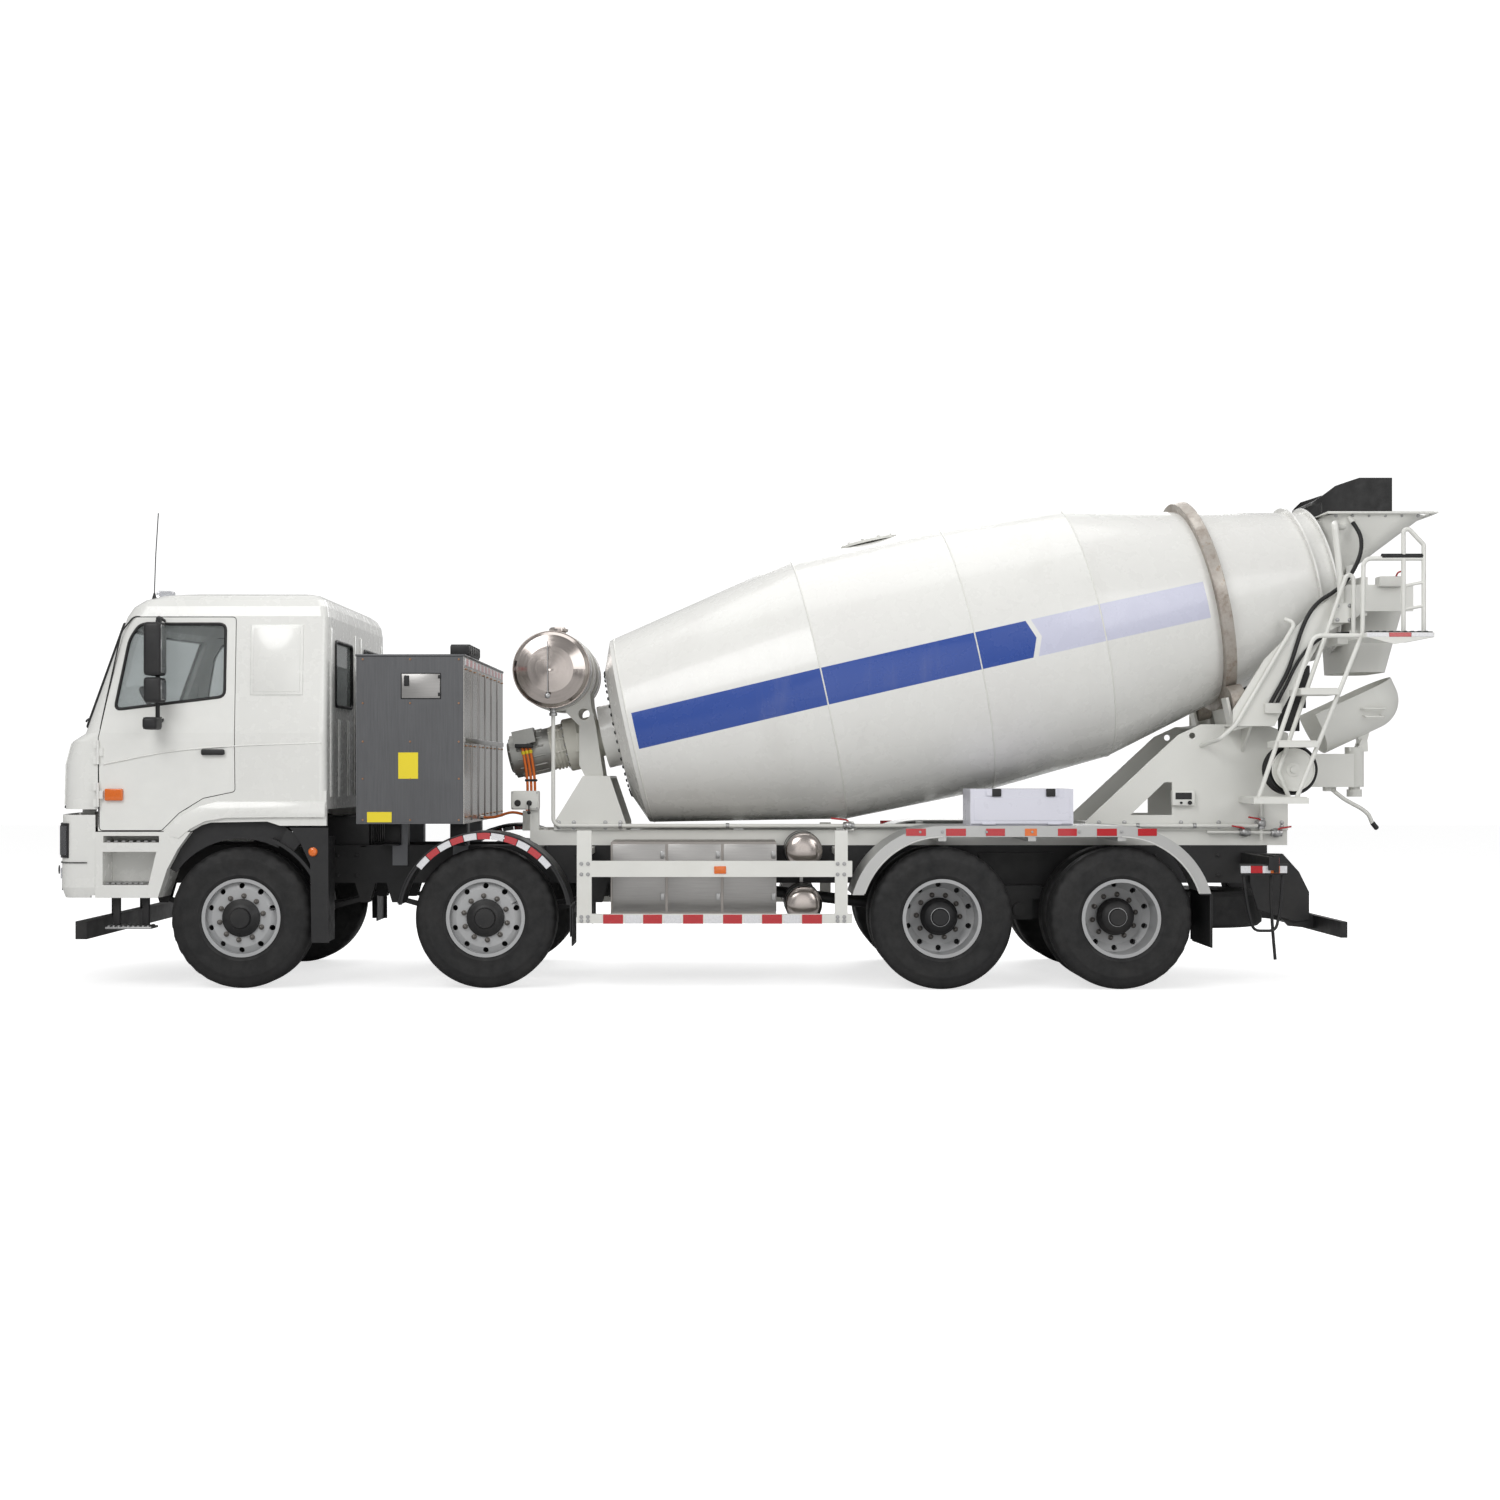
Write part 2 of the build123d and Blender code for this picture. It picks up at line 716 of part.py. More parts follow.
def feed_hopper():
    bowl = hollow_loft(hopper_outlet, hopper_rim, hopper_wall)
    x0, x1, half, z = hopper_rim
    lip = block(x0 - 20, -front_end, -half - 20, half + 20, z, z + 10)
    lip -= block(x0 + hopper_wall, x1 - hopper_wall, -half + hopper_wall, half - hopper_wall, z - 1, z + 11)
    hanger = block(4745, 4795, 300, wing_inner + plate, wing_top, wing_top + 60)
    hanger += block(4745, 4795, 300, 350, wing_top, 3330)
    hopper = bowl + lip + (both_sides(hanger) - loft_core(hopper_outlet, hopper_rim))
    funnel = hollow_loft(funnel_bottom, funnel_top, hopper_wall)
    arm = block(4745, 4795, 400, wing_inner, 2860, 2920)
    stay = bent_tube([(4640, 470, 3590), (4515, stay_y, 3575), (4560, stay_y, 3140),
                      (4560, stay_y, stay_foot)], 25, 60)
    stay += rod((4640, 470, 3590), (4700, 440, 3594), 25)
    hopper += both_sides(stay - loft_core(hopper_outlet, hopper_rim))
    hose_stub = rod((4727, -470, 3662), wing_hose_route[0], 21)
    hopper += hose_stub - loft_core(hopper_outlet, hopper_rim)
    return hopper + funnel + (both_sides(arm) - loft_core(funnel_bottom, funnel_top))


def hopper_apron():
    # Rubber collar on the rim, round at the front, open at the rear, lower where the drum passes
    x0, _, half, z = hopper_rim
    low = z + 10
    front = x0 - 60
    rear = 5060
    wall = 12

    def plan(inset, back):
        face = Pos((front + back) / 2, 0, low) * Rectangle(back - front - 2 * inset, 2 * half - 2 * inset)
        ends = [v for v in face.vertices() if v.X < front + 60]
        return fillet(ends, 240 - inset)

    collar = extrude(plan(0, rear), amount=apron_top - low) - extrude(plan(wall, rear + 40), amount=400)
    collar -= side_plate([(front - 1, low + 110), (front + 120, apron_top - 60), (front + 300, apron_top),
                          (front + 300, apron_top + 20), (front - 1, apron_top + 20)], -half - 1, half + 1)
    return collar - block(front - 1, front + 39, -half, half, low - 1, low + 90)


def chute_post():
    head_top = chute_hinge_z - 40
    post = rod((chute_post_x, 0, 1440), (chute_post_x, 0, head_top), 45)
    post += rod((chute_post_x, 0, arm_top + 0.3), (chute_post_x, 0, head_top), 75)
    post += rod((chute_post_x, 0, 1440), (chute_post_x, 0, 1500), 60)
    head = block(chute_post_x - 60, chute_hinge_x + 30, -60, 60, head_top - 36, head_top)
    for y0 in (-60, 40):
        head += side_plate([(chute_hinge_x - 45, head_top), (chute_hinge_x + 30, head_top),
                            (chute_hinge_x + 24, chute_hinge_z + 22),
                            (chute_hinge_x - 24, chute_hinge_z + 22)], y0, y0 + 20)
    head -= disc_x(chute_hinge_x, chute_hinge_z, hinge_radius + running_gap, -61, 61)
    return post + head


def trough_solid(radius, length):
    body = rod((0, 0, 0), (-length, 0, 0), radius) + Sphere(radius)
    body += block(-length, 0, -radius, radius, 0, chute_side) + rod((0, 0, 0), (0, 0, chute_side), radius)
    return body - block(-length - 2, radius, -radius, radius, chute_side, 2 * radius)


def chute():
    # U-shaped trough with a closed round rear end, sloping down to the front
    place = Location(chute_centre) * Location((0, 0, 0), (0, -chute_slope, 0))
    outer = place * trough_solid(chute_radius, chute_length)
    inner = trough_solid(chute_radius - chute_wall, chute_length + 1)
    inner += extrude(Pos(0, 0, chute_side) * Circle(chute_radius - chute_wall), amount=10)
    inner += block(-chute_length - 1, 0, chute_wall - chute_radius, chute_radius - chute_wall,
                   chute_side - 1, chute_side + 10)
    inner = place * inner
    lug = side_plate([(chute_hinge_x - 22, chute_hinge_z - 20), (chute_hinge_x + 22, chute_hinge_z - 20),
                      (chute_hinge_x + 70, 2040), (chute_hinge_x - 70, 1990)], -39, 39)
    pin = disc_x(chute_hinge_x, chute_hinge_z, hinge_radius, -60, 60)
    return outer + lug + pin - inner


# Tanks, boxes, fenders and guards


def water_tank():
    half = tank_length / 2
    bulge = 70
    profile = [(0, -half), (tank_radius * 0.6, -half + 22), (tank_radius * 0.9, -half + bulge * 0.8),
               (tank_radius, -half + bulge * 1.4)]
    outline = profile + [(r, -s) for r, s in reversed(profile)]
    tank = Pos(tank_x, 0, tank_z) * Rot(90, 0, 0) * turned(outline)
    return tank + rod((tank_x, 0, tank_z + tank_radius - 5), (tank_x, 0, tank_z + tank_radius + 45), 60)


def battery_cabinet():
    half = cabinet_half
    body = block(cabinet_front, cabinet_rear, -half, half, cabinet_bottom, cabinet_top)
    hatch = block(-2655, -2361, -half - 4, -half + 1, 2193, 2385)
    body += both_sides(hatch)
    body += block(cabinet_rear - 140, cabinet_rear - 12, -900, -300, cabinet_top, cabinet_top + 88)
    body += rod((cabinet_rear, -204, 1276), (cabinet_rear + 15, -204, 1276), 17)
    for x in (-2860, -2380):
        foot = block(x, x + 120, subframe_inner, rail_outer + plate, rail_top, cabinet_bottom)
        foot += side_plate([(x, 900), (x + 120, 900), (x + 120, cabinet_bottom), (x, cabinet_bottom)],
                           rail_outer, rail_outer + plate)
        body += both_sides(foot)
    return body


def equipment_boxes():
    box = block(-1093, 172, 460, 1010, 555, 1106)
    for x in (-1000, 60):
        box += block(x, x + 60, rail_outer, 460, 800, 1000)
    return both_sides(box)


def air_tanks():
    tanks = block(air_tank_x - 12, air_tank_x + 12, rail_outer, 480, 600, 1040)
    for z in air_tank_heights:
        tanks += disc_x(air_tank_x, z, air_tank_radius, 480, 1000)
    return both_sides(tanks)


def side_guards():
    y0, y1 = body_half_width - 50, body_half_width - 10
    guard = block(-1334, 740, y0, y1, 851, 971) + block(-1334, 740, y0, y1, 500, 572)
    for x0, x1 in ((-1334, -1223), (610, 706)):
        guard += block(x0, x1, y0, y1, 500, 1200)
        guard += block(x0 + 20, x0 + 80, rail_outer, y0, 1000, 1050)
    return both_sides(guard)


def arch(axle, outer, inner, y0, y1, floor):
    ring = disc_x(axle, axle_z, outer, y0, y1) - disc_x(axle, axle_z, inner, y0 - 1, y1 + 1)
    return ring & block(axle - outer, axle + outer, y0, y1, floor, axle_z + outer)


def mudguards():
    radius = steer_fender_radius
    guards = []
    for number, axle in enumerate(steer_axles):
        edge = body_half_width - 10
        guard = arch(axle, radius, radius - fender_sheet, 880, edge, 640)
        guard += arch(axle, radius, steer_fender_inner, edge - 10, edge, 640)
        front = axle + 250 if number == 0 else axle - radius
        outer = body_half_width - 10
        guard = guard & block(front, axle + radius, 870, outer + 10, 640, 1200)
        x = axle + 330
        guard += block(x, x + 50, rail_outer, 890, 1030, 1060)
        back = axle + radius
        if number == 0:
            guard += side_plate([(back - 270, 1222), (back + 20, 1222), (back + 25, 355), (back - 105, 355),
                                 (back - 115, 948), (back - 200, 1130)], outer - 15, outer)
            guard += block(back - 10, back, 900, outer - 5, 355, 1150)
        else:
            guard += block(back - 10, back, 900, outer, 400, 645)
        guards.append(both_sides(guard))
    return joined(guards)


def drive_fenders():
    def stadium(radius, y0, y1):
        shape = block(axle_x[2], axle_x[3], y0, y1, axle_z - radius, axle_z + radius)
        for axle in drive_axles:
            shape += disc_x(axle, axle_z, radius, y0, y1)
        return shape
    outer = drive_fender_radius
    sheet = stadium(outer, 600, body_half_width) - stadium(outer - fender_sheet, 599, body_half_width + 1)
    band = stadium(outer, body_half_width - 10, body_half_width) - stadium(
        outer - 83, body_half_width - 11, body_half_width + 1
    )
    fender = (sheet + band) & block(
        axle_x[2] - outer, axle_x[3] + outer, 590, 1260, fender_low, 1300
    )
    for x in (axle_x[2], bogie_x, axle_x[3]):
        fender += block(x - 30, x + 30, rail_outer, body_half_width - 5, 1120, subframe_top - 2)
        fender += block(x - 30, x + 30, 520, body_half_width - 5, 1150, axle_z + outer - fender_sheet)
    x = axle_x[3] + math.sqrt(outer ** 2 - (fender_low - axle_z) ** 2)
    fender += block(x - fender_sheet, x, 620, body_half_width - 10, 330, fender_low + 5)
    return both_sides(fender)


def spare_wheel():
    place = Pos(spare_x, 0, 545)
    wheel = place * (tyre_ring(0) + turned([(90, -60), (bead_radius, -60), (bead_radius, -30), (90, -30)]))
    return wheel + block(spare_x - 35, spare_x + 35, -10, 10, 515, 940) + block(
        spare_x - 110, spare_x + 110, -150, 150, 505, 520
    )


toolbox_x0 = 1638
toolbox_x1 = 2417
toolbox_wall = 12
toolbox_front = -1150
toolbox_top = 1513


def toolbox():
    base = axle_z + drive_fender_radius
    wall = toolbox_wall
    body = block(toolbox_x0, toolbox_x1, toolbox_front, -700, base, toolbox_top)
    body -= block(toolbox_x0 + wall, toolbox_x1 - wall, toolbox_front - 1, -700 - wall, base + wall,
                  toolbox_top - wall)
    return body


def toolbox_lid():
    base = axle_z + drive_fender_radius
    y1 = toolbox_front - seat_gap
    lid = block(toolbox_x0, toolbox_x1, y1 - 25, y1, base + 15, toolbox_top)
    for x in (toolbox_x0 + 120, toolbox_x1 - 180):
        lid += block(x, x + 60, y1 - 37, y1 - 25, toolbox_top - 50, toolbox_top)
    for x in (toolbox_x0 + 90, toolbox_x1 - 190):
        lid += rod((x, y1 - 25, base + 15), (x + 100, y1 - 25, base + 15), 9)
    return lid


bumper_rear = -4961
bumper_top = 1318


def front_bumper():
    # A thin shell, curved in plan and tucked in at its foot
    def plan(z, shift, inset):
        front = -5300 + shift + inset
        half = body_half_width - 5 - shift - inset
        nose = ThreePointArc((front + 90, -half, z), (front_end + shift + inset, 0, z), (front + 90, half, z))
        back = Polyline((front + 90, half, z), (bumper_rear, half, z), (bumper_rear, -half, z),
                        (front + 90, -half, z))
        face = make_face([nose, back]).faces()[0]
        ends = [v for v in face.vertices() if v.X < bumper_rear - 10]
        return face.fillet_2d(110 - inset, ends)

    bumper = loft([plan(693, 22, 0), plan(770, 0, 0), plan(bumper_top, 6, 0)], ruled=True)
    bumper -= loft([plan(692, 22, 30), plan(770, 0, 30), plan(bumper_top + 1, 6, 30)], ruled=True)
    swing_half = cab_side - 17
    bumper -= block(bumper_rear - 40, bumper_rear + 1, -swing_half, swing_half, 600, 1400)
    for side in (-1, 1):
        low, high = sorted((side * 340, side * 410))
        bumper -= block(front_end - 1, -5250, low, high, 1140, bumper_top + 1)
    # Two arms from the frame's nose
    ear_inner = rail_outer - 40
    arm = block(-5378, rail_front, ear_inner - 45, ear_inner, 800, 900)
    bumper += both_sides(arm)
    # Step boxes behind the wings
    steps = []
    outline = [(bumper_rear, 693), (-4490, 693), (-4420, 908), (-4340, 1060), (-4245, 1190),
               (bumper_rear, 1190)]
    outer = body_half_width - 10
    box = side_plate(outline, 900, outer)
    box -= block(-4900, -4480, 1000, outer + 1, 1110, 1160)
    box -= side_plate([(-4905, 790), (-4560, 790), (-4500, 1040), (-4905, 1040)], 1000, outer + 1)
    box += block(bumper_rear, -4900, rail_outer, 905, 900, 980)
    steps.append(box)
    bumper += both_sides(joined(steps))
    return bumper


def rear_bumper():
    bar_half = body_half_width - 100
    bar = block(4450, 4498, -bar_half, bar_half, 385, 506)
    hanger = side_plate([(4000, 966), (rail_rear, 966), (4300, 560), (4450, 506), (4450, 400),
                         (4250, 420), (4000, 700)], rail_outer, rail_outer + 25)
    lamp_bar = block(3880, 3925, rail_outer, body_half_width - 15, 900, 1000)
    lamp = block(3925, 3960, 860, body_half_width - 30, 880, 1010)
    return bar + both_sides(hanger + lamp_bar + lamp)


def access_ladder():
    tube = 17
    left = ladder_y
    ladder = bent_tube([(3853, left, 1450), (4273, left, 2682), (4650, left, 2682)], tube, 80)
    ladder += bent_tube([(4145, left, 1450), (4645, left, 2700), (4652, left, 3270), (5112, left, 3270)],
                        tube, 60)
    inner = left + 215
    ladder += bent_tube([(4145, inner, 1450), (4063, inner, 1640), (4592, inner, 3167), (4645, inner, 3167),
                         (4645, inner, 2690)], tube, 40)
    ladder += bent_tube([(4957, left, 2690), (4957, left, 3540), (5112, left, 3375), (5112, left, 2690)],
                        tube, 30)
    for z in (2880, 3060):
        ladder += rod((4957, left, z), (5112, left, z + 30), 12)
    for x0, x1, z in ((3800, 4220, 1400), (3990, 4290, 1830), (4160, 4450, 2230)):
        ladder += block(x0, x1, left - 60, inner + 40, z, z + 45)
    deck = block(4640, 5157, -1150, -520, 2663, 2700)
    deck += side_plate([(4650, 2664), (5150, 2664), (4860, 2610)], -1150, -1140)
    deck += block(4640, 4700, -762, -722, 2700, 2744)
    ladder += deck + block(4560, 4640, -wing_inner - plate, -620, 2640, 2700)
    ladder += block(4560, 4640, -640, -450, 2640, 2700)
    ladder += block(3860, 3920, left + 100, -450, 1400, 1445)
    return ladder


reel_sheet = 15


def hose_reel():
    reel = disc_x(reel_x, reel_z, reel_hub_radius, reel_outer, -pedestal_outer)
    for y0 in (reel_outer, reel_inner - reel_sheet):
        reel += disc_x(reel_x, reel_z, reel_radius, y0, y0 + reel_sheet)
    return reel


def water_hoses():
    y0 = reel_outer + reel_sheet + seat_gap
    y1 = reel_inner - reel_sheet - seat_gap
    coil = disc_x(reel_x, reel_z, hose_coil_radius, y0, y1)
    return coil - disc_x(reel_x, reel_z, reel_hub_radius + seat_gap, y0 - 1, y1 + 1)


def water_pipes():
    top = tank_z - tank_radius - seat_gap
    pipe = bent_tube([(tank_x, pipe_y, top), (tank_x, pipe_y, pipe_z), (4000, pipe_y, pipe_z)], 16, 60)
    pipe += block(740, 800, pipe_y - 20, pipe_y + 20, pipe_z - 36, pipe_z + 34)
    for x in (-1300, 3000, 3800):
        pipe += block(x, x + 30, pipe_y, -pedestal_outer, pipe_z - 12, pipe_z + 12)
    return pipe


# Cab: plan sections from the floor to the roof


cab_side = body_half_width - 5
cab_sections = (  # (height, front edge at the sides, bulge of the front, half width, rear edge)
    (cab_floor, -5275, 140, cab_side - 23, cab_rear),
    (1700, -5262, 140, cab_side - 8, cab_rear),
    (1870, -5215, 140, cab_side, cab_rear),
    (1935, -5110, 160, cab_side, cab_rear),
    (2820, -4816, 130, cab_side - 60, cab_rear),
    (2895, -4770, 125, cab_side - 76, cab_rear - 10),
    (2950, -4695, 115, cab_side - 112, cab_rear - 40),
    (2985, -4590, 100, cab_side - 170, cab_rear - 90),
    (3000, -4470, 85, cab_side - 245, cab_rear - 160),
)
nose_corner = 150
rear_corner = 55


def cab_plan(row, inset):
    z, front, bulge, half, rear = row
    front += inset
    half -= inset
    rear -= inset
    nose = ThreePointArc((front + 90, -half, z), (front - bulge, 0, z), (front + 90, half, z))
    sides = Polyline((front + 90, half, z), (rear, half, z), (rear, -half, z), (front + 90, -half, z))
    plan = make_face([nose, sides]).faces()[0]
    middle = (front + rear) / 2
    nose_ends = [v for v in plan.vertices() if v.X < middle]
    plan = plan.fillet_2d(nose_corner - inset, nose_ends)
    rear_ends = [v for v in plan.vertices() if v.X > rear - 1]
    return plan.fillet_2d(rear_corner - inset, rear_ends)


def cab_body(inset):
    rows = list(cab_sections)
    if inset:
        rows[0] = (cab_floor + inset,) + rows[0][1:]
        rows[-1] = (rows[-1][0] - inset,) + rows[-1][1:]
    return loft([cab_plan(row, inset) for row in rows], ruled=True)


def cab_skirt():
    # Side panels that hang below the floor, round the door foot and over the wheel
    outline = [(-4945, cab_floor), (-4945, door_bottom), (-4240, door_bottom), (-4165, 1240),
               (-4098, 1260), (-3670, 1268), (-3573, 1236), (cab_rear, 1236), (cab_rear, 1500),
               (-4945, 1500)]
    return side_plate(outline, cab_side - 23 - cab_wall, cab_side - 23)


door_outline = (
    (door_front, door_bottom), (-4464, door_bottom), (-4330, 1330), (-4150, 1440), (door_rear, 1491),
    (door_rear, door_top), (-4690, door_top), (-4780, 2700), (-4925, 1960), (door_front, 1900),
)
window_outline = ((-4815, 2110), (-3990, 2210), (-3990, 2760), (-4640, 2760), (-4715, 2640))
windscreen_low = 1990
windscreen_high = 2770


def inset_outline(outline, amount, corner):
    face = make_face(Polyline(*[(x, z) for x, z in outline], close=True)).faces()[0]
    face = face.fillet_2d(corner, face.vertices())
    return offset(face, amount=-amount) if amount else face


def door_prism(amount):
    outer = inset_outline(door_outline, amount, 30)
    return Pos(0, body_half_width + 50, 0) * Rot(90, 0, 0) * extrude(outer, amount=170)


def window_prism(amount):
    shape = inset_outline(window_outline, amount, 40)
    return Pos(0, body_half_width + 50, 0) * Rot(90, 0, 0) * extrude(shape, amount=170)


windscreen_half = body_half_width - 190


def windscreen_cut(amount):
    return block(-5600, -4700, -windscreen_half + amount, windscreen_half - amount,
                 windscreen_low + amount, windscreen_high - amount)


rear_windows = ((-900, -250), (250, 900))


def cab_walls():
    walls = cab_body(0) - cab_body(cab_wall)
    return walls + both_sides(cab_skirt())


def cab_shell():
    shell = cab_walls()
    shell -= both_sides(door_prism(0))
    shell -= windscreen_cut(0)
    for y0, y1 in rear_windows:
        shell -= block(cab_rear - 60, cab_rear + 10, y0, y1, 2150, 2650)
    ear_y = rail_outer - 40 - seat_gap
    ear = side_plate([(cab_pivot_x - 32, cab_pivot_z - 30), (cab_pivot_x + 32, cab_pivot_z - 30),
                      (cab_pivot_x + 90, cab_floor + 5), (cab_pivot_x - 20, cab_floor + 5)],
                     ear_y - 30, ear_y)
    ear += disc_x(cab_pivot_x, cab_pivot_z, hinge_radius, ear_y - 1, rail_outer)
    for low in door_hinges:
        for start in (low - 60, low + 60 + seat_gap):
            ear += hinge_barrel(start, 60 - seat_gap, -1)
    return shell + both_sides(ear)


door_hinges = (1440, 1760)
mirror_heads = (  # (bottom, top, front, rear)
    (2362, 2749, -4521, -4400), (2160, 2340, -4521, -4400), (1960, 2045, -4530, -4430),
)
door_hinge_x = door_front + 3
door_hinge_y = body_half_width + 6


def hinge_barrel(low, height, leaf_side):
    barrel = rod((door_hinge_x, door_hinge_y, low), (door_hinge_x, door_hinge_y, low + height), 10)
    ends = sorted((door_hinge_x, door_hinge_x + leaf_side * 36))
    return barrel + block(*ends, body_half_width - 32, door_hinge_y - 2, low, low + height)


def cab_glass():
    pane = cab_body(12) - cab_body(12 + glass_thickness)
    glass = pane & windscreen_cut(seat_gap)
    for y0, y1 in rear_windows:
        glass += block(cab_rear - 18, cab_rear - 12, y0 + seat_gap, y1 - seat_gap, 2150 + seat_gap,
                       2650 - seat_gap)
    return glass


def door_left():
    walls = cab_walls()
    door = walls & door_prism(door_gap)
    door -= window_prism(0)
    door += block(-4150, -3990, body_half_width - 28, body_half_width + 12, 1778, 1802)
    for low in door_hinges:
        door += hinge_barrel(low, 60, 1)
    arm_y = body_half_width + 80
    for z0, z1, x0, x1 in mirror_heads:
        head = Pos((x0 + x1) / 2, arm_y + 80, (z0 + z1) / 2) * Box(x1 - x0, 160, z1 - z0)
        door += fillet(head.edges().filter_by(Axis.Z), (x1 - x0) / 4)
    door += block(-4470, -4450, arm_y, arm_y + 20, 2000, 2790)
    door += block(-4470, -4450, body_half_width - 20, arm_y + 20, 2025, 2055)
    door += block(-4470, -4450, body_half_width - 60, arm_y + 20, 2765, 2795)
    return mirror(door, Plane.XZ)


def door_pane():
    pane = (cab_body(14) - cab_body(14 + glass_thickness)) & window_prism(seat_gap)
    return mirror(pane, Plane.XZ)


def cab_interior():
    base = cab_floor + cab_wall
    dash = side_plate([(-5130, base), (-4900, base), (-4820, 2020), (-4950, 2080), (-5090, 2030)],
                      -1000, 1000) & cab_body(cab_wall + seat_gap)
    column = rod((-4900, -520, 1951), (-4680, -520, 2140), 25)
    centre = Plane(origin=(-4680, -520, 2140), z_dir=(210, 0, 180)).location
    wheel = centre * Torus(215, 16)
    for turn in (90, 210, 330):
        wheel += centre * Rot(0, 0, turn) * Pos(107, 0, -8) * Box(215, 30, 10)
    return dash + column + wheel


def cab_seats():
    base = cab_floor + cab_wall
    seats = []
    for y in (-520, 520):
        seat = block(-4420, -3920, y - 250, y + 250, base, 1900)
        seat += side_plate([(-4020, 1900), (-3880, 1900), (-3740, 2560), (-3840, 2580)], y - 240, y + 240)
        seats.append(seat)
    return joined(seats)


pieces = {
    "ladder_frame": ladder_frame() + underrun_bar(),
    "axles_and_springs": axle_beams() + leaf_springs(),
    "traction_unit": traction_unit(),
    "mixer_subframe": mixer_subframe(),
    "front_pedestal": front_pedestal(),
    "rear_pedestal": rear_pedestal(),
    "drum_reducer": drum_reducer(),
    "drum_motor": drum_motor(),
    "motor_cables": motor_cables(),
    "water_tank": water_tank(),
    "battery_cabinet": battery_cabinet(),
    "side_equipment": equipment_boxes() + air_tanks(),
    "side_guards": side_guards(),
    "mudguards": mudguards(),
    "drive_fenders": drive_fenders(),
    "front_bumper": front_bumper(),
    "rear_bumper": rear_bumper(),
    "feed_hopper": feed_hopper(),
    "hopper_apron": hopper_apron(),
    "access_ladder": access_ladder(),
    "spare_wheel": spare_wheel(),
    "toolbox": toolbox(),
    "toolbox_lid": toolbox_lid(),
    "water_line": water_pipes() + hose_reel(),
    "water_hoses": water_hoses(),
    "wing_hoses": wing_hoses(),
    "cab_shell": cab_shell(),
    "cab_glass": cab_glass(),
    "cab_interior": cab_interior(),
    "cab_seats": cab_seats(),
    "door_left": door_left(),
    "door_glass_left": door_pane(),
    "drum_shell": drum_shell(),
    "drum_ring": drum_ring(),
    "roller_left": drum_roller(-1),
    "roller_right": drum_roller(1),
    "chute_post": chute_post(),
    "chute": chute(),
}
pieces["door_right"] = mirror(pieces["door_left"], Plane.XZ)
pieces["door_glass_right"] = mirror(pieces["door_glass_left"], Plane.XZ)

steer_rim = steer_wheel()
drive_rim = drive_wheel()
steer_tyre = tyre_ring(0)
drive_tyres = tyre_ring(twin_spacing / 2) + tyre_ring(-twin_spacing / 2)
for number, axle in enumerate(axle_x, start=1):
    for side_name, side in (("left", -1), ("right", 1)):
        steered = axle in steer_axles
        place = wheel_place(axle, side)
        pieces[f"wheel_{number}_{side_name}"] = place * (steer_rim if steered else drive_rim)
        pieces[f"tyre_{number}_{side_name}"] = place * (steer_tyre if steered else drive_tyres)
        if steered:
            pieces[f"knuckle_{number}_{side_name}"] = knuckle(axle, side)

os.makedirs("parts", exist_ok=True)
for name, piece in pieces.items():
    export_step(piece, f"parts/{name}.step")
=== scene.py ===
import bpy
import math
from mathutils import Matrix, Vector


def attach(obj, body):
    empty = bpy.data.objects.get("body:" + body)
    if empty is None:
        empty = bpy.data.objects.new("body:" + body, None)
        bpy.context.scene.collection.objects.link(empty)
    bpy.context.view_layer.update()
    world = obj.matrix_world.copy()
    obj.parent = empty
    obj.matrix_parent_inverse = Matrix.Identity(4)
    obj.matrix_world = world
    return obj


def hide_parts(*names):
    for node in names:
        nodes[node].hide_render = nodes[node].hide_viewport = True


# Concrete mixer truck. Metres, +X to the rear, +Y to the right side, +Z up, ground at z 0.
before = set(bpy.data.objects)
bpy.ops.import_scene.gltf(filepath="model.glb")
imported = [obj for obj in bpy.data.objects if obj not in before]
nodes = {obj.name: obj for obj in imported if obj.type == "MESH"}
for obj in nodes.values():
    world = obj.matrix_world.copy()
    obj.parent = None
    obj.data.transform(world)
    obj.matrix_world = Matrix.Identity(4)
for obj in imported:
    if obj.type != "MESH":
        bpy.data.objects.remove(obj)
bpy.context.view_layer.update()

stance = {
    "axles": (-3.882, -2.032, 1.418, 2.768),
    "axleHeight": 0.536,
    "drumFoot": Vector((-0.96, 0, 1.981)),
    "drumTilt": math.radians(12.42),
}
drumAlong = Vector((math.cos(stance["drumTilt"]), 0, math.sin(stance["drumTilt"])))
drumUp = Vector((-math.sin(stance["drumTilt"]), 0, math.cos(stance["drumTilt"])))
sides = {"left": -1, "right": 1}


# Camera, floor and lights

studio = {
    "cameraPlace": (-0.180, -15.735, 1.634),
    "lens": 46.2,
    "shift": (0.0133, 0.0153),
    "floorSize": 90,
    "floorGrey": (0.62, 0.62, 0.62, 1),
    "sky": (1.0, 1.0, 1.0, 1),
    "skyStrength": 0.44,
    "seenSkyStrength": 1.1,
    "floorGlow": 0.7,
}


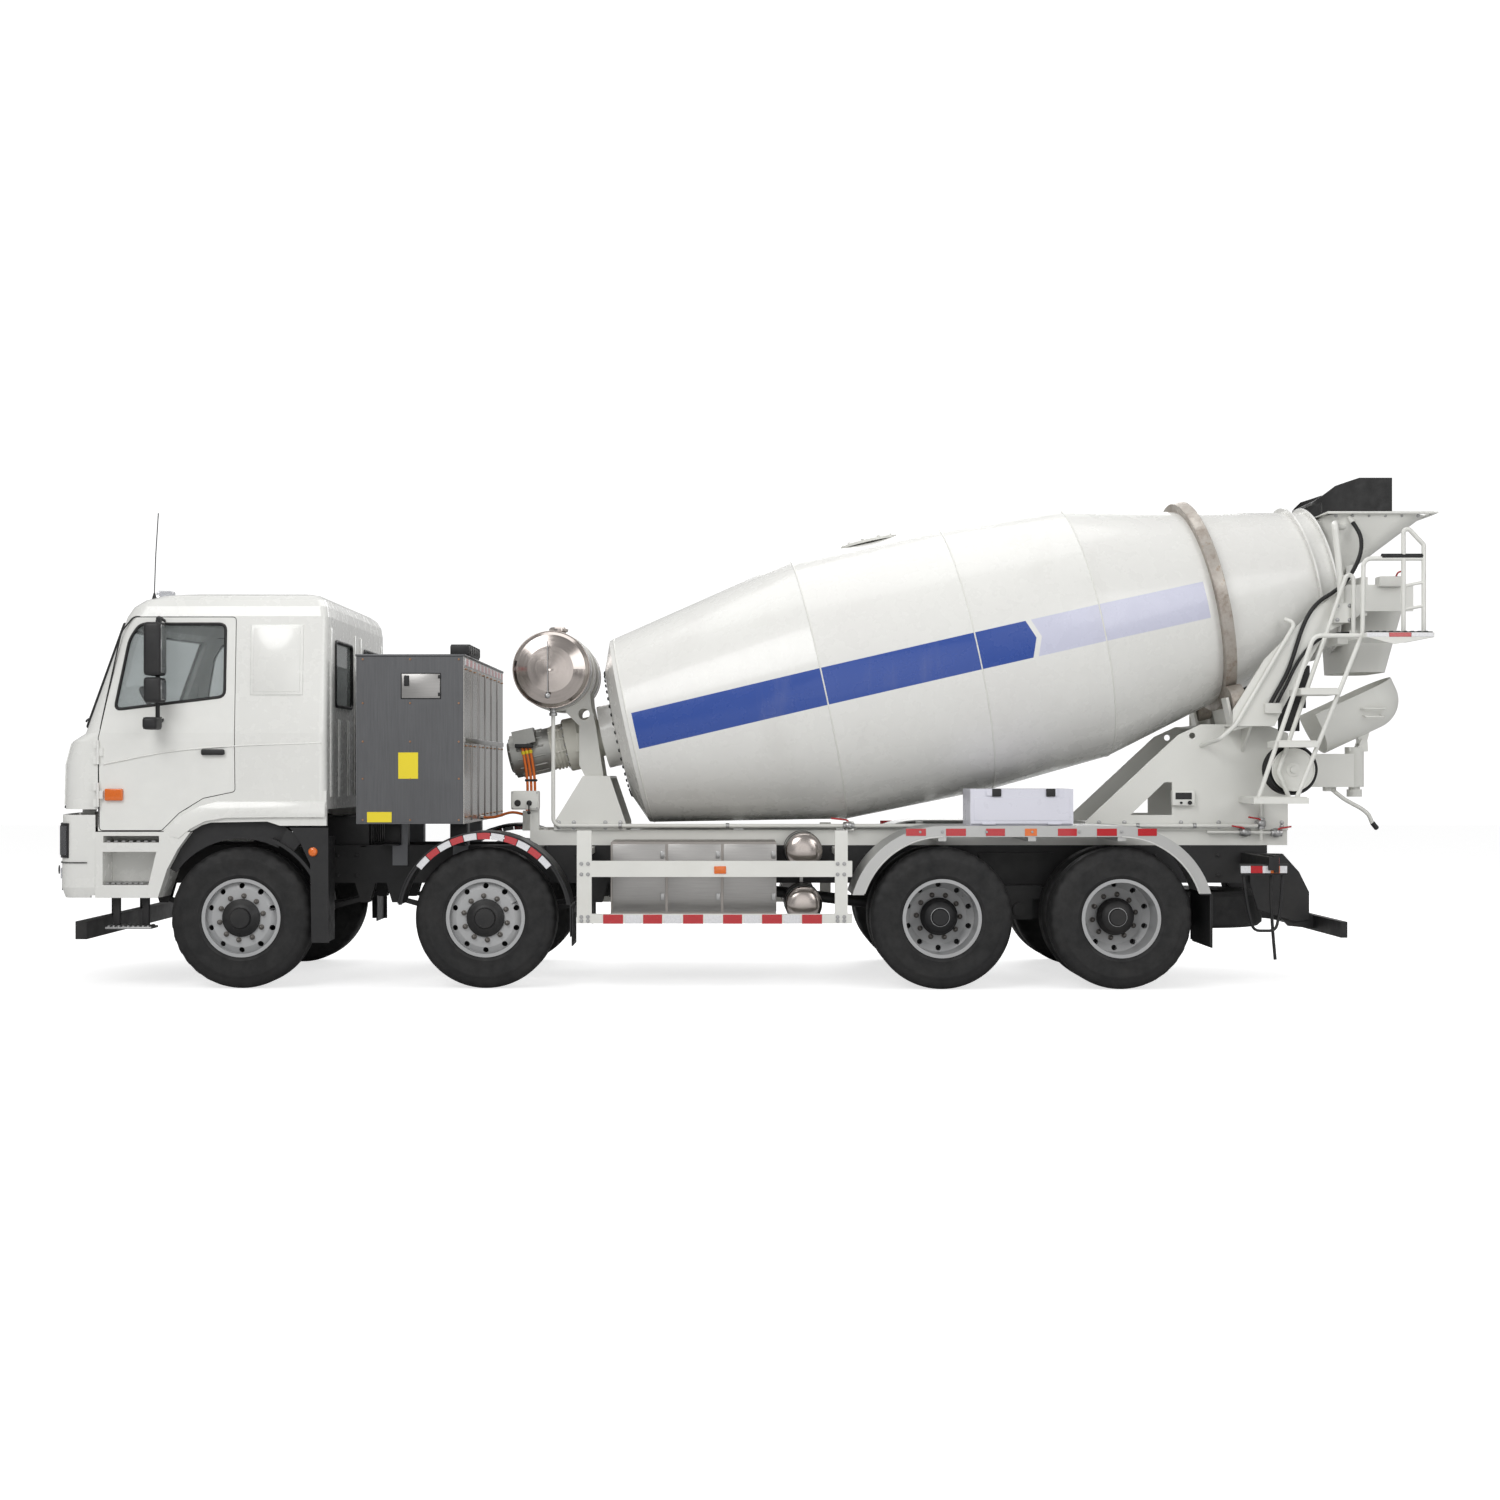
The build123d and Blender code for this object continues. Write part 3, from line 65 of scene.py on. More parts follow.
def makeStudio():
    camera = bpy.data.cameras.new("photoCamera")
    camera.lens = studio["lens"]
    camera.sensor_width = 36
    camera.shift_x, camera.shift_y = studio["shift"]
    holder = bpy.data.objects.new("photoCamera", camera)
    holder.location = studio["cameraPlace"]
    holder.rotation_euler = (math.radians(90), 0, 0)
    bpy.context.scene.collection.objects.link(holder)
    bpy.context.scene.camera = holder
    bpy.context.scene.view_settings.view_transform = "Standard"

    deselectAll()
    bpy.ops.mesh.primitive_grid_add(size=studio["floorSize"], x_subdivisions=3, y_subdivisions=3)
    floor = bpy.context.object
    floor.name = "studioFloor"
    material, tree, shader = newMaterial("paleFloor")
    grain = noise(tree, objectCoords(tree), 3, 3)
    colour = ramp(tree, grain, [(0.3, (0.58, 0.58, 0.58, 1)), (0.7, studio["floorGrey"])])
    tree.links.new(colour, shader.inputs["Base Color"])
    shader.inputs["Roughness"].default_value = 0.75
    shader.inputs["Emission Color"].default_value = studio["sky"]
    path = tree.nodes.new("ShaderNodeLightPath")
    glow = maths(tree, "MULTIPLY", path.outputs["Is Camera Ray"], studio["floorGlow"])
    tree.links.new(glow, shader.inputs["Emission Strength"])
    floor.data.materials.append(material)

    world = bpy.data.worlds.new("studioSky")
    world.use_nodes = True
    tree = world.node_tree
    tree.nodes["Background"].inputs["Color"].default_value = studio["sky"]
    path = tree.nodes.new("ShaderNodeLightPath")
    seen = maths(tree, "MULTIPLY_ADD", path.outputs["Is Camera Ray"],
                 studio["seenSkyStrength"] - studio["skyStrength"], studio["skyStrength"])
    tree.links.new(seen, tree.nodes["Background"].inputs["Strength"])
    bpy.context.scene.world = world

    lamps = (  # name, place, target, size, watts
        ("keyLight", (-7, -13, 11), (0, 0, 1.5), 9, 950),
        ("fillLight", (9, -12, 7), (1, 0, 1.5), 8, 420),
        ("topLight", (0, 1, 13), (0, 0, 0), 12, 620),
        ("backLight", (3, 13, 9), (0, 0, 1.5), 9, 700),
        ("lowLight", (0, -13, 1.2), (0, 0, 0.9), 9, 160),
    )
    for name, place, target, size, watts in lamps:
        light = bpy.data.lights.new(name, "AREA")
        light.shape = "DISK"
        light.size = size
        light.energy = watts
        lamp = bpy.data.objects.new(name, light)
        lamp.location = place
        lamp.rotation_euler = (Vector(target) - Vector(place)).to_track_quat("-Z", "Y").to_euler()
        bpy.context.scene.collection.objects.link(lamp)


# Material helpers


def newMaterial(name):
    material = bpy.data.materials.new(name)
    material.use_nodes = True
    tree = material.node_tree
    return material, tree, tree.nodes["Principled BSDF"]


def objectCoords(tree, scale=(1, 1, 1), place=(0, 0, 0), turn=(0, 0, 0)):
    source = tree.nodes.new("ShaderNodeTexCoord")
    mapping = tree.nodes.new("ShaderNodeMapping")
    mapping.inputs["Scale"].default_value = scale
    mapping.inputs["Location"].default_value = place
    mapping.inputs["Rotation"].default_value = turn
    tree.links.new(source.outputs["Object"], mapping.inputs["Vector"])
    return mapping.outputs["Vector"]


def noise(tree, vector, scale, detail=4, roughness=0.55):
    node = tree.nodes.new("ShaderNodeTexNoise")
    node.inputs["Scale"].default_value = scale
    node.inputs["Detail"].default_value = detail
    node.inputs["Roughness"].default_value = roughness
    tree.links.new(vector, node.inputs["Vector"])
    return node.outputs["Fac"]


def ramp(tree, value, stops):
    node = tree.nodes.new("ShaderNodeValToRGB")
    elements = node.color_ramp.elements
    while len(elements) < len(stops):
        elements.new(0.5)
    for element, (place, colour) in zip(elements, stops):
        element.position = place
        element.color = colour
    tree.links.new(value, node.inputs["Fac"])
    return node.outputs["Color"]


def grey(value):
    return (value, value, value, 1)


def greyRamp(tree, value, start, first, end, last):
    return ramp(tree, value, [(start, grey(first)), (end, grey(last))])


def blendColour(tree, factor, first, second):
    node = tree.nodes.new("ShaderNodeMix")
    node.data_type = "RGBA"
    plug(tree, factor, node.inputs[0])
    plug(tree, first, node.inputs[6])
    plug(tree, second, node.inputs[7])
    return node.outputs[2]


def plug(tree, value, socket):
    if isinstance(value, bpy.types.NodeSocket):
        tree.links.new(value, socket)
    else:
        socket.default_value = value


def maths(tree, operation, first, second=0.0, third=0.0):
    node = tree.nodes.new("ShaderNodeMath")
    node.operation = operation
    plug(tree, first, node.inputs[0])
    plug(tree, second, node.inputs[1])
    plug(tree, third, node.inputs[2])
    return node.outputs["Value"]


def along(tree, vector, direction):
    node = tree.nodes.new("ShaderNodeVectorMath")
    node.operation = "DOT_PRODUCT"
    node.inputs[1].default_value = direction
    tree.links.new(vector, node.inputs[0])
    return node.outputs["Value"]


def bump(tree, shader, height, strength, distance):
    node = tree.nodes.new("ShaderNodeBump")
    node.inputs["Strength"].default_value = strength
    node.inputs["Distance"].default_value = distance
    tree.links.new(height, node.inputs["Height"])
    tree.links.new(node.outputs["Normal"], shader.inputs["Normal"])


def dustyPaint(name, colour, roughness, dust=0.2, coat=0.0, peel=0.05):
    material, tree, shader = newMaterial(name)
    place = objectCoords(tree)
    height = along(tree, place, (0, 0, 1))
    low = greyRamp(tree, maths(tree, "MULTIPLY", height, 0.4), 0.1, 1, 0.62, 0.12)
    patches = greyRamp(tree, noise(tree, place, 2.3, 8, 0.65), 0.42, 0, 0.72, 1)
    amount = maths(tree, "MULTIPLY", maths(tree, "MULTIPLY", low, patches), dust)
    shade = tuple(c * 0.94 for c in colour[:3]) + (1,)
    tone = blendColour(tree, greyRamp(tree, noise(tree, place, 0.8, 2), 0.35, 0, 0.65, 1),
                       colour, shade)
    dustColour = (0.42, 0.38, 0.33, 1)
    tree.links.new(blendColour(tree, amount, tone, dustColour), shader.inputs["Base Color"])
    rough = greyRamp(tree, noise(tree, place, 11, 5), 0.3, roughness, 0.75, roughness + 0.13)
    tree.links.new(rough, shader.inputs["Roughness"])
    shader.inputs["Coat Weight"].default_value = coat
    shader.inputs["Coat Roughness"].default_value = 0.08
    bump(tree, shader, noise(tree, place, 240, 2), peel, 0.002)
    return material


def brushedMetal(name, colour, roughness, stretch, depth=0.06):
    material, tree, shader = newMaterial(name)
    streaks = noise(tree, objectCoords(tree, stretch), 4, 6, 0.7)
    clouds = noise(tree, objectCoords(tree), 1.7, 5)
    dark = tuple(c * 0.8 for c in colour[:3]) + (1,)
    tone = blendColour(tree, greyRamp(tree, streaks, 0.3, 0, 0.7, 1), dark, colour)
    stained = tuple(c * 0.72 for c in colour[:3]) + (1,)
    tree.links.new(blendColour(tree, greyRamp(tree, clouds, 0.5, 0, 0.8, 0.5), tone, stained),
                   shader.inputs["Base Color"])
    shader.inputs["Metallic"].default_value = 1
    tree.links.new(greyRamp(tree, streaks, 0.25, roughness, 0.8, roughness + 0.16),
                   shader.inputs["Roughness"])
    bump(tree, shader, streaks, depth, 0.002)
    return material


def rubberLike(name, colour, roughness, dust=0.3, grain=160, depth=0.25):
    material, tree, shader = newMaterial(name)
    place = objectCoords(tree)
    patches = greyRamp(tree, noise(tree, place, 5, 8, 0.7), 0.4, 0, 0.75, dust)
    tree.links.new(blendColour(tree, patches, colour, (0.2, 0.185, 0.165, 1)), shader.inputs["Base Color"])
    tree.links.new(greyRamp(tree, noise(tree, place, 14, 4), 0.3, roughness, 0.7, roughness + 0.2),
                   shader.inputs["Roughness"])
    bump(tree, shader, noise(tree, place, grain, 3), depth, 0.0015)
    return material


def clearPane(name, tint, roughness=0.02):
    material, tree, shader = newMaterial(name)
    clouds = noise(tree, objectCoords(tree), 2.5, 4)
    film = greyRamp(tree, clouds, 0.4, roughness, 0.8, roughness + 0.05)
    tree.links.new(film, shader.inputs["Roughness"])
    shader.inputs["Base Color"].default_value = tint
    shader.inputs["Transmission Weight"].default_value = 0.92
    shader.inputs["IOR"].default_value = 1.2
    return material


def lensPlastic(name, colour):
    material, tree, shader = newMaterial(name)
    ribs = noise(tree, objectCoords(tree), 90, 1)
    deep = tuple(c * 0.7 for c in colour[:3]) + (1,)
    tree.links.new(blendColour(tree, ribs, deep, colour), shader.inputs["Base Color"])
    shader.inputs["Roughness"].default_value = 0.12
    shader.inputs["Coat Weight"].default_value = 0.6
    bump(tree, shader, ribs, 0.2, 0.002)
    return material


def drumPaint(name):
    stripe = {
        "blue": (0.022, 0.070, 0.33, 1), "lavender": (0.60, 0.61, 0.74, 1), "white": (0.79, 0.79, 0.76, 1),
        "half": 0.1435, "blueStart": 0.036, "blueEnd": 3.136, "point": 0.054, "bandStart": 3.178,
        "bandEnd": 4.59, "seams": (0.0, 1.531, 2.733, 3.716), "seamHalf": 0.004,
    }
    material, tree, shader = newMaterial(name)
    place = objectCoords(tree)
    foot = stance["drumFoot"]
    station = maths(tree, "SUBTRACT", along(tree, place, drumAlong), foot.dot(drumAlong))
    rise = maths(tree, "SUBTRACT", along(tree, place, drumUp), foot.dot(drumUp))
    across = along(tree, place, (0, 1, 0))
    leftSide = maths(tree, "LESS_THAN", across, 0.0)
    middle = maths(tree, "MULTIPLY_ADD", station, 0.009, -0.03)
    off = maths(tree, "ABSOLUTE", maths(tree, "SUBTRACT", rise, middle))
    inBand = maths(tree, "MULTIPLY", leftSide, maths(tree, "LESS_THAN", off, stripe["half"]))
    lead = maths(tree, "MULTIPLY", maths(tree, "SUBTRACT", stripe["half"], off),
                 stripe["point"] / stripe["half"])
    pointed = maths(tree, "SUBTRACT", station, lead)
    blue = maths(tree, "MULTIPLY", inBand, maths(
        tree, "MULTIPLY", maths(tree, "GREATER_THAN", station, stripe["blueStart"]),
        maths(tree, "LESS_THAN", pointed, stripe["blueEnd"])))
    pale = maths(tree, "MULTIPLY", inBand, maths(
        tree, "MULTIPLY", maths(tree, "GREATER_THAN", pointed, stripe["bandStart"]),
        maths(tree, "LESS_THAN", station, stripe["bandEnd"])))
    clouds = greyRamp(tree, noise(tree, place, 0.9, 3), 0.35, 0, 0.65, 1)
    tone = blendColour(tree, clouds, stripe["white"], (0.76, 0.755, 0.73, 1))
    tone = blendColour(tree, pale, tone, stripe["lavender"])
    tone = blendColour(tree, blue, tone, stripe["blue"])
    streaks = greyRamp(tree, noise(tree, objectCoords(tree, (1, 1, 0.15)), 3, 6, 0.6),
                   0.55, 0, 0.8, 0.16)
    tree.links.new(blendColour(tree, streaks, tone, (0.45, 0.43, 0.39, 1)), shader.inputs["Base Color"])
    rough = greyRamp(tree, noise(tree, place, 7, 5), 0.3, 0.22, 0.75, 0.34)
    tree.links.new(rough, shader.inputs["Roughness"])
    shader.inputs["Coat Weight"].default_value = 0.25
    bump(tree, shader, noise(tree, place, 6, 3, 0.4), 0.06, 0.02)
    return material


def rustySteel(name):
    material, tree, shader = newMaterial(name)
    place = objectCoords(tree)
    spots = noise(tree, place, 9, 9, 0.72)
    tone = ramp(tree, spots, [(0.3, (0.22, 0.17, 0.13, 1)), (0.48, (0.42, 0.38, 0.34, 1)),
                              (0.62, (0.5, 0.47, 0.43, 1)), (0.75, (0.33, 0.22, 0.14, 1))])
    tree.links.new(tone, shader.inputs["Base Color"])
    tree.links.new(greyRamp(tree, spots, 0.3, 0.65, 0.7, 0.38), shader.inputs["Roughness"])
    tree.links.new(greyRamp(tree, spots, 0.35, 0.2, 0.6, 0.85), shader.inputs["Metallic"])
    bump(tree, shader, noise(tree, place, 60, 5), 0.35, 0.003)
    return material


def weave(name, colour):
    material, tree, shader = newMaterial(name)
    place = objectCoords(tree)
    first = tree.nodes.new("ShaderNodeTexWave")
    first.bands_direction = "X"
    first.inputs["Scale"].default_value = 90
    second = tree.nodes.new("ShaderNodeTexWave")
    second.bands_direction = "Z"
    second.inputs["Scale"].default_value = 90
    tree.links.new(place, first.inputs["Vector"])
    tree.links.new(place, second.inputs["Vector"])
    height = maths(tree, "MULTIPLY", first.outputs["Fac"], second.outputs["Fac"])
    light = tuple(min(1, c * 1.8) for c in colour[:3]) + (1,)
    tree.links.new(blendColour(tree, height, colour, light), shader.inputs["Base Color"])
    shader.inputs["Roughness"].default_value = 0.9
    shader.inputs["Sheen Weight"].default_value = 0.3
    bump(tree, shader, height, 0.4, 0.002)
    return material


def twoFinish(name, first, second, tests, metal=(0, 0), rough=(0.25, 0.45)):
    # The second finish shows where every test along an axis holds
    material, tree, shader = newMaterial(name)
    place = objectCoords(tree)
    mask = None
    for axis, kind, limit in tests:
        reach = maths(tree, "ABSOLUTE", along(tree, place, axis))
        if kind.endswith("SIGNED"):
            reach = along(tree, place, axis)
        held = maths(tree, kind.replace("_SIGNED", ""), reach, limit)
        mask = held if mask is None else maths(tree, "MULTIPLY", mask, held)
    worn = greyRamp(tree, noise(tree, place, 6, 6, 0.6), 0.35, 0, 0.75, 0.3)
    tone = blendColour(tree, worn, first, tuple(c * 0.86 for c in first[:3]) + (1,))
    tree.links.new(blendColour(tree, mask, tone, second), shader.inputs["Base Color"])
    grain = maths(tree, "MULTIPLY", noise(tree, place, 30, 4), 0.12)
    sheen = maths(tree, "MULTIPLY_ADD", mask, rough[1] - rough[0], rough[0])
    tree.links.new(maths(tree, "ADD", sheen, grain), shader.inputs["Roughness"])
    shine = maths(tree, "MULTIPLY_ADD", mask, metal[1] - metal[0], metal[0])
    tree.links.new(shine, shader.inputs["Metallic"])
    bump(tree, shader, noise(tree, place, 240, 2), 0.03, 0.002)
    return material


black = (0.010, 0.010, 0.011, 1)
finishKinds = (  # maker, name, then what the maker takes
    (twoFinish, "doorPaint", (0.80, 0.80, 0.77, 1), black, [((0, 1, 0), "GREATER_THAN", 1.268)], (0, 0),
     (0.18, 0.4)),
    (twoFinish, "fenderAndFlap", (0.52, 0.52, 0.51, 1), black,
     [((0, 0, 1), "LESS_THAN", 0.725), ((1, 0, 0), "GREATER_THAN", 3.3)], (0.6, 0), (0.28, 0.55)),
    (twoFinish, "equipmentSteel", (0.36, 0.335, 0.315, 1), (0.42, 0.41, 0.40, 1),
     [((1, 0, 0), "GREATER_THAN_SIGNED", 0.2)], (0.9, 0.95), (0.42, 0.24)),
    (twoFinish, "cabinetSkin", (0.155, 0.158, 0.165, 1), (0.46, 0.45, 0.43, 1),
     [((1, 0, 0), "LESS_THAN", 2.19)], (0.75, 1), (0.36, 0.18)),
    (brushedMetal, "nutSteel", (0.16, 0.15, 0.14, 1), 0.35, (20, 20, 20)),
    (brushedMetal, "copper", (0.48, 0.27, 0.16, 1), 0.35, (20, 20, 20)),
    (dustyPaint, "cabWhite", (0.80, 0.80, 0.77, 1), 0.2, 0.12, 0.5, 0.02),
    (dustyPaint, "mixerWhite", (0.76, 0.76, 0.72, 1), 0.3, 0.25, 0.15),
    (dustyPaint, "chassisBlack", (0.007, 0.007, 0.008, 1), 0.45, 0.05),
    (dustyPaint, "fenderSilver", (0.62, 0.62, 0.6, 1), 0.35, 0.2),
    (dustyPaint, "rimSilver", (0.40, 0.405, 0.41, 1), 0.3, 0.12, 0.1),
    (dustyPaint, "reducerCream", (0.68, 0.67, 0.6, 1), 0.4, 0.2),
    (brushedMetal, "stainless", (0.42, 0.41, 0.40, 1), 0.28, (1, 1, 40)),
    (brushedMetal, "cabinetSteel", (0.15, 0.152, 0.158, 1), 0.36, (30, 30, 1)),
    (brushedMetal, "tankSteel", (0.52, 0.47, 0.44, 1), 0.13, (1, 30, 1), 0.02),
    (brushedMetal, "bareSteel", (0.5, 0.5, 0.5, 1), 0.32, (20, 20, 20)),
    (brushedMetal, "motorGrey", (0.42, 0.42, 0.4, 1), 0.45, (3, 3, 3), 0.1),
    (rustySteel, "ringSteel"),
    (rubberLike, "tyreRubber", (0.007, 0.007, 0.0075, 1), 0.6, 0.05),
    (rubberLike, "blackRubber", (0.008, 0.008, 0.0085, 1), 0.5, 0.04),
    (rubberLike, "blackPlastic", black, 0.42, 0.03, 320, 0.15),
    (rubberLike, "darkTrim", (0.05, 0.05, 0.055, 1), 0.5, 0.02, 320, 0.15),
    (dustyPaint, "boxPlastic", (0.72, 0.72, 0.8, 1), 0.25, 0.05, 0.2),
    (rubberLike, "orange", (0.75, 0.16, 0.015, 1), 0.4, 0.05),
    (lensPlastic, "tapeRed", (0.55, 0.012, 0.02, 1)),
    (lensPlastic, "tapeWhite", (0.82, 0.82, 0.84, 1)),
    (lensPlastic, "lampAmber", (0.85, 0.17, 0.01, 1)),
    (lensPlastic, "lampRed", (0.5, 0.01, 0.01, 1)),
    (dustyPaint, "plateYellow", (0.85, 0.68, 0.02, 1), 0.35, 0.1),
    (brushedMetal, "mirrorFace", (0.9, 0.9, 0.9, 1), 0.02, (1, 1, 1), 0.0),
    (clearPane, "glassDark", (0.86, 0.9, 0.9, 1)),
    (drumPaint, "drumPaint"),
    (weave, "seatCloth", (0.05, 0.05, 0.06, 1)),
    (clearPane, "lampGlass", (0.95, 0.96, 1.0, 1)),
)


def makeFinishes():
    return {name: maker(name, *facts) for maker, name, *facts in finishKinds}


# Which CAD nodes each finish goes on
finishNodes = {
    "chassisBlack": ("ladder_frame", "axles_and_springs", "traction_unit", "rear_bumper"),
    "mixerWhite": ("mixer_subframe", "front_pedestal", "rear_pedestal", "side_guards", "feed_hopper",
                   "access_ladder", "water_line", "chute_post", "chute"),
    "cabWhite": ("front_bumper", "cab_shell"), "doorPaint": ("door_left", "door_right"),
    "glassDark": ("cab_glass", "door_glass_left", "door_glass_right"),
    "ringSteel": ("drum_ring", "roller_left", "roller_right"),
    "blackRubber": ("hopper_apron", "water_hoses", "wing_hoses"), "blackPlastic": ("mudguards",),
    "boxPlastic": ("toolbox", "toolbox_lid"), "reducerCream": ("drum_reducer",),
    "motorGrey": ("drum_motor",), "tankSteel": ("water_tank",), "cabinetSkin": ("battery_cabinet",),
    "equipmentSteel": ("side_equipment",), "fenderAndFlap": ("drive_fenders",),
    "tyreRubber": ("spare_wheel",), "darkTrim": ("cab_interior",), "seatCloth": ("cab_seats",),
    "drumPaint": ("drum_shell",), "orange": ("motor_cables",),
}
nodeFinish = {node: finish for finish, group in finishNodes.items() for node in group}


def dressNodes():
    for name, node in nodes.items():
        finish = "rimSilver"  # the wheels' own
        if name.startswith("tyre"):
            finish = "tyreRubber"
        if name.startswith("knuckle"):
            finish = "chassisBlack"
        node.data.materials.clear()
        node.data.materials.append(finishes[nodeFinish.get(name, finish)])


# Modelling helpers


def deselectAll():
    if bpy.context.object and bpy.context.object.mode != "OBJECT":
        bpy.ops.object.mode_set(mode="OBJECT")
    bpy.ops.object.select_all(action="DESELECT")


def activate(piece):
    deselectAll()
    piece.select_set(True)
    bpy.context.view_layer.objects.active = piece


def bakePlace(piece):
    activate(piece)
    bpy.ops.object.transform_apply(location=True, rotation=True, scale=True)


def editAll(piece):
    activate(piece)
    bpy.ops.object.mode_set(mode="EDIT")
    bpy.ops.mesh.select_all(action="SELECT")


def leaveEdit():
    bpy.ops.mesh.select_all(action="SELECT")
    bpy.ops.mesh.normals_make_consistent(inside=False)
    bpy.ops.object.mode_set(mode="OBJECT")


def softBox(low, high, edge=0.004, steps=2):
    deselectAll()
    middle = [(a + b) / 2 for a, b in zip(low, high)]
    bpy.ops.mesh.primitive_cube_add(size=1, location=middle)
    box = bpy.context.object
    box.scale = [abs(b - a) for a, b in zip(low, high)]
    bakePlace(box)
    editAll(box)
    bpy.ops.mesh.bevel(offset=edge, segments=steps, affect="EDGES")
    leaveEdit()
    return box


def turnedBody(rings, steps=32, filled=True):
    # Rings of (radius, height) about +Z
    deselectAll()
    radius, height = rings[0]
    fill = "NGON" if filled else "NOTHING"
    bpy.ops.mesh.primitive_circle_add(vertices=steps, radius=radius, location=(0, 0, height), fill_type=fill)
    body = bpy.context.object
    bakePlace(body)
    editAll(body)
    for (before, low), (after, high) in zip(rings, rings[1:]):
        move = {"value": (0, 0, high - low)}
        if filled:
            bpy.ops.mesh.extrude_region_move(TRANSFORM_OT_translate=move)
        else:
            bpy.ops.mesh.extrude_edges_move(TRANSFORM_OT_translate=move)
        growth = after / before
        bpy.ops.transform.resize(value=(growth, growth, 1), center_override=(0, 0, high))
    bpy.ops.mesh.select_all(action="SELECT")
    bpy.ops.mesh.remove_doubles(threshold=0.0003)
    leaveEdit()
    return body


def facing(place, direction, turn=0.0):
    # Puts a body made about +Z at a place, looking along a direction
    look = Vector(direction).to_track_quat("Z", "Y").to_matrix().to_4x4()
    return Matrix.Translation(place) @ look @ Matrix.Rotation(turn, 4, "Z")


def moved(piece, matrix):
    piece.data.transform(matrix)
    return piece


def joinAll(parts):
    deselectAll()
    for part in parts:
        part.select_set(True)
    bpy.context.view_layer.objects.active = parts[0]
    if len(parts) > 1:
        bpy.ops.object.join()
    return parts[0]


def copyOf(source):
    twin = source.copy()
    twin.data = source.data.copy()
    bpy.context.scene.collection.objects.link(twin)
    return twin


def scatter(source, matrices):
    copies = [moved(copyOf(source), matrix) for matrix in matrices]
    bpy.data.objects.remove(source, do_unlink=True)
    return joinAll(copies)


def mirrored(source):
    twin = moved(copyOf(source), Matrix.Scale(-1, 4, (0, 1, 0)))
    editAll(twin)
    leaveEdit()
    return twin


def applied(piece, kind, **facts):
    modifier = piece.modifiers.new("finishing", kind)
    for name, value in facts.items():
        setattr(modifier, name, value)
    activate(piece)
    bpy.ops.object.modifier_apply(modifier="finishing")


def sheet(columns, rows, placeAt, rounding=None, **facts):
    # A grid laid out by placeAt(across, up), both from 0 to 1, then given its thickness
    deselectAll()
    bpy.ops.mesh.primitive_grid_add(x_subdivisions=columns, y_subdivisions=rows, size=1)
    piece = bpy.context.object
    bakePlace(piece)
    for vertex in piece.data.vertices:
        vertex.co = placeAt(vertex.co.x + 0.5, vertex.co.y + 0.5)
    applied(piece, "SOLIDIFY", **facts)
    if rounding:
        applied(piece, "BEVEL", **rounding)
    editAll(piece)
    leaveEdit()
    return piece


def sideBox(side, x, reach, z, edge, steps):
    # A box on one side of the truck, with its reach counted from the middle
    near, far = sorted(side * y for y in reach)
    return softBox((x[0], near, z[0]), (x[1], far, z[1]), edge, steps)


def turnedAt(place, direction, rings, steps=32, filled=True):
    return moved(turnedBody(rings, steps, filled), facing(place, direction))


def circle(count, reach):
    # Places around a ring, in its own plane
    turns = [2 * math.pi * i / count for i in range(count)]
    return [(reach * math.cos(turn), reach * math.sin(turn)) for turn in turns]


def roundedRoute(points, corner, closed):
    points = [Vector(point) for point in points]
    count = len(points)
    route = []
    for i, point in enumerate(points):
        if not closed and i in (0, count - 1):
            route.append(point)
            continue
        before = points[i - 1] - point
        after = points[(i + 1) % count] - point
        cut = min(corner, before.length / 2.2, after.length / 2.2)
        first = point + before.normalized() * cut
        last = point + after.normalized() * cut
        for step in range(5):
            t = step / 4
            route.append(first * (1 - t) ** 2 + point * 2 * t * (1 - t) + last * t ** 2)
    return route


def pipe(points, radius, corner=0.03, closed=False):
    route = roundedRoute(points, corner, closed)
    curve = bpy.data.curves.new("pipe", "CURVE")
    curve.dimensions = "3D"
    spline = curve.splines.new("POLY")
    spline.points.add(len(route) - 1)
    for place, point in zip(spline.points, route):
        place.co = (*point, 1)
    spline.use_cyclic_u = closed
    curve.bevel_depth = radius
    curve.bevel_resolution = 3
    curve.use_fill_caps = True
    holder = bpy.data.objects.new("pipe", curve)
    bpy.context.scene.collection.objects.link(holder)
    activate(holder)
    bpy.ops.object.convert(target="MESH")
    return bpy.context.object


def dress(parts, name, finish, body="chassis", smooth=38):
    piece = joinAll(parts) if isinstance(parts, list) else parts
    piece.name = name
    piece.data.name = name
    activate(piece)
    bpy.ops.object.shade_smooth_by_angle(angle=math.radians(smooth))
    piece.data.materials.clear()
    piece.data.materials.append(finishes[finish])
    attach(piece, body)
    return piece


def boltHead(radius=0.012, height=0.010):
    washer = [(radius * 1.5, 0), (radius * 1.5, height * 0.2), (radius * 1.05, height * 0.2)]
    head = [(radius * 1.05, height), (radius * 0.8, height * 1.2)]
    return turnedBody(washer + head, 12)


def bolts(name, places, direction, radius=0.012, finish="bareSteel"):
    spots = [facing(place, direction, 0.3 * i) for i, place in enumerate(places)]
    return dress(scatter(boltHead(radius), spots), name, finish)


def boltsBothSides(names, places, direction, radius, finish="bareSteel"):
    x, y, z = direction
    bolts(names[0], places, direction, radius, finish)
    bolts(names[1], [(px, -py, pz) for px, py, pz in places], (x, -y, z), radius, finish)


# Wheels

wheelFacts = {
    "trackSteer": 1.03, "trackDrive": 0.93, "spacing": 0.35, "tyreRadius": 0.5355, "groovePitch": 0.052,
    "grooveDepth": 0.013, "grooveHalf": 0.0055, "lugEvery": 3, "steps": 96, "nutCircle": 0.1675, "nuts": 10,
    "steerFace": 0.118, "driveFace": 0.014,
}


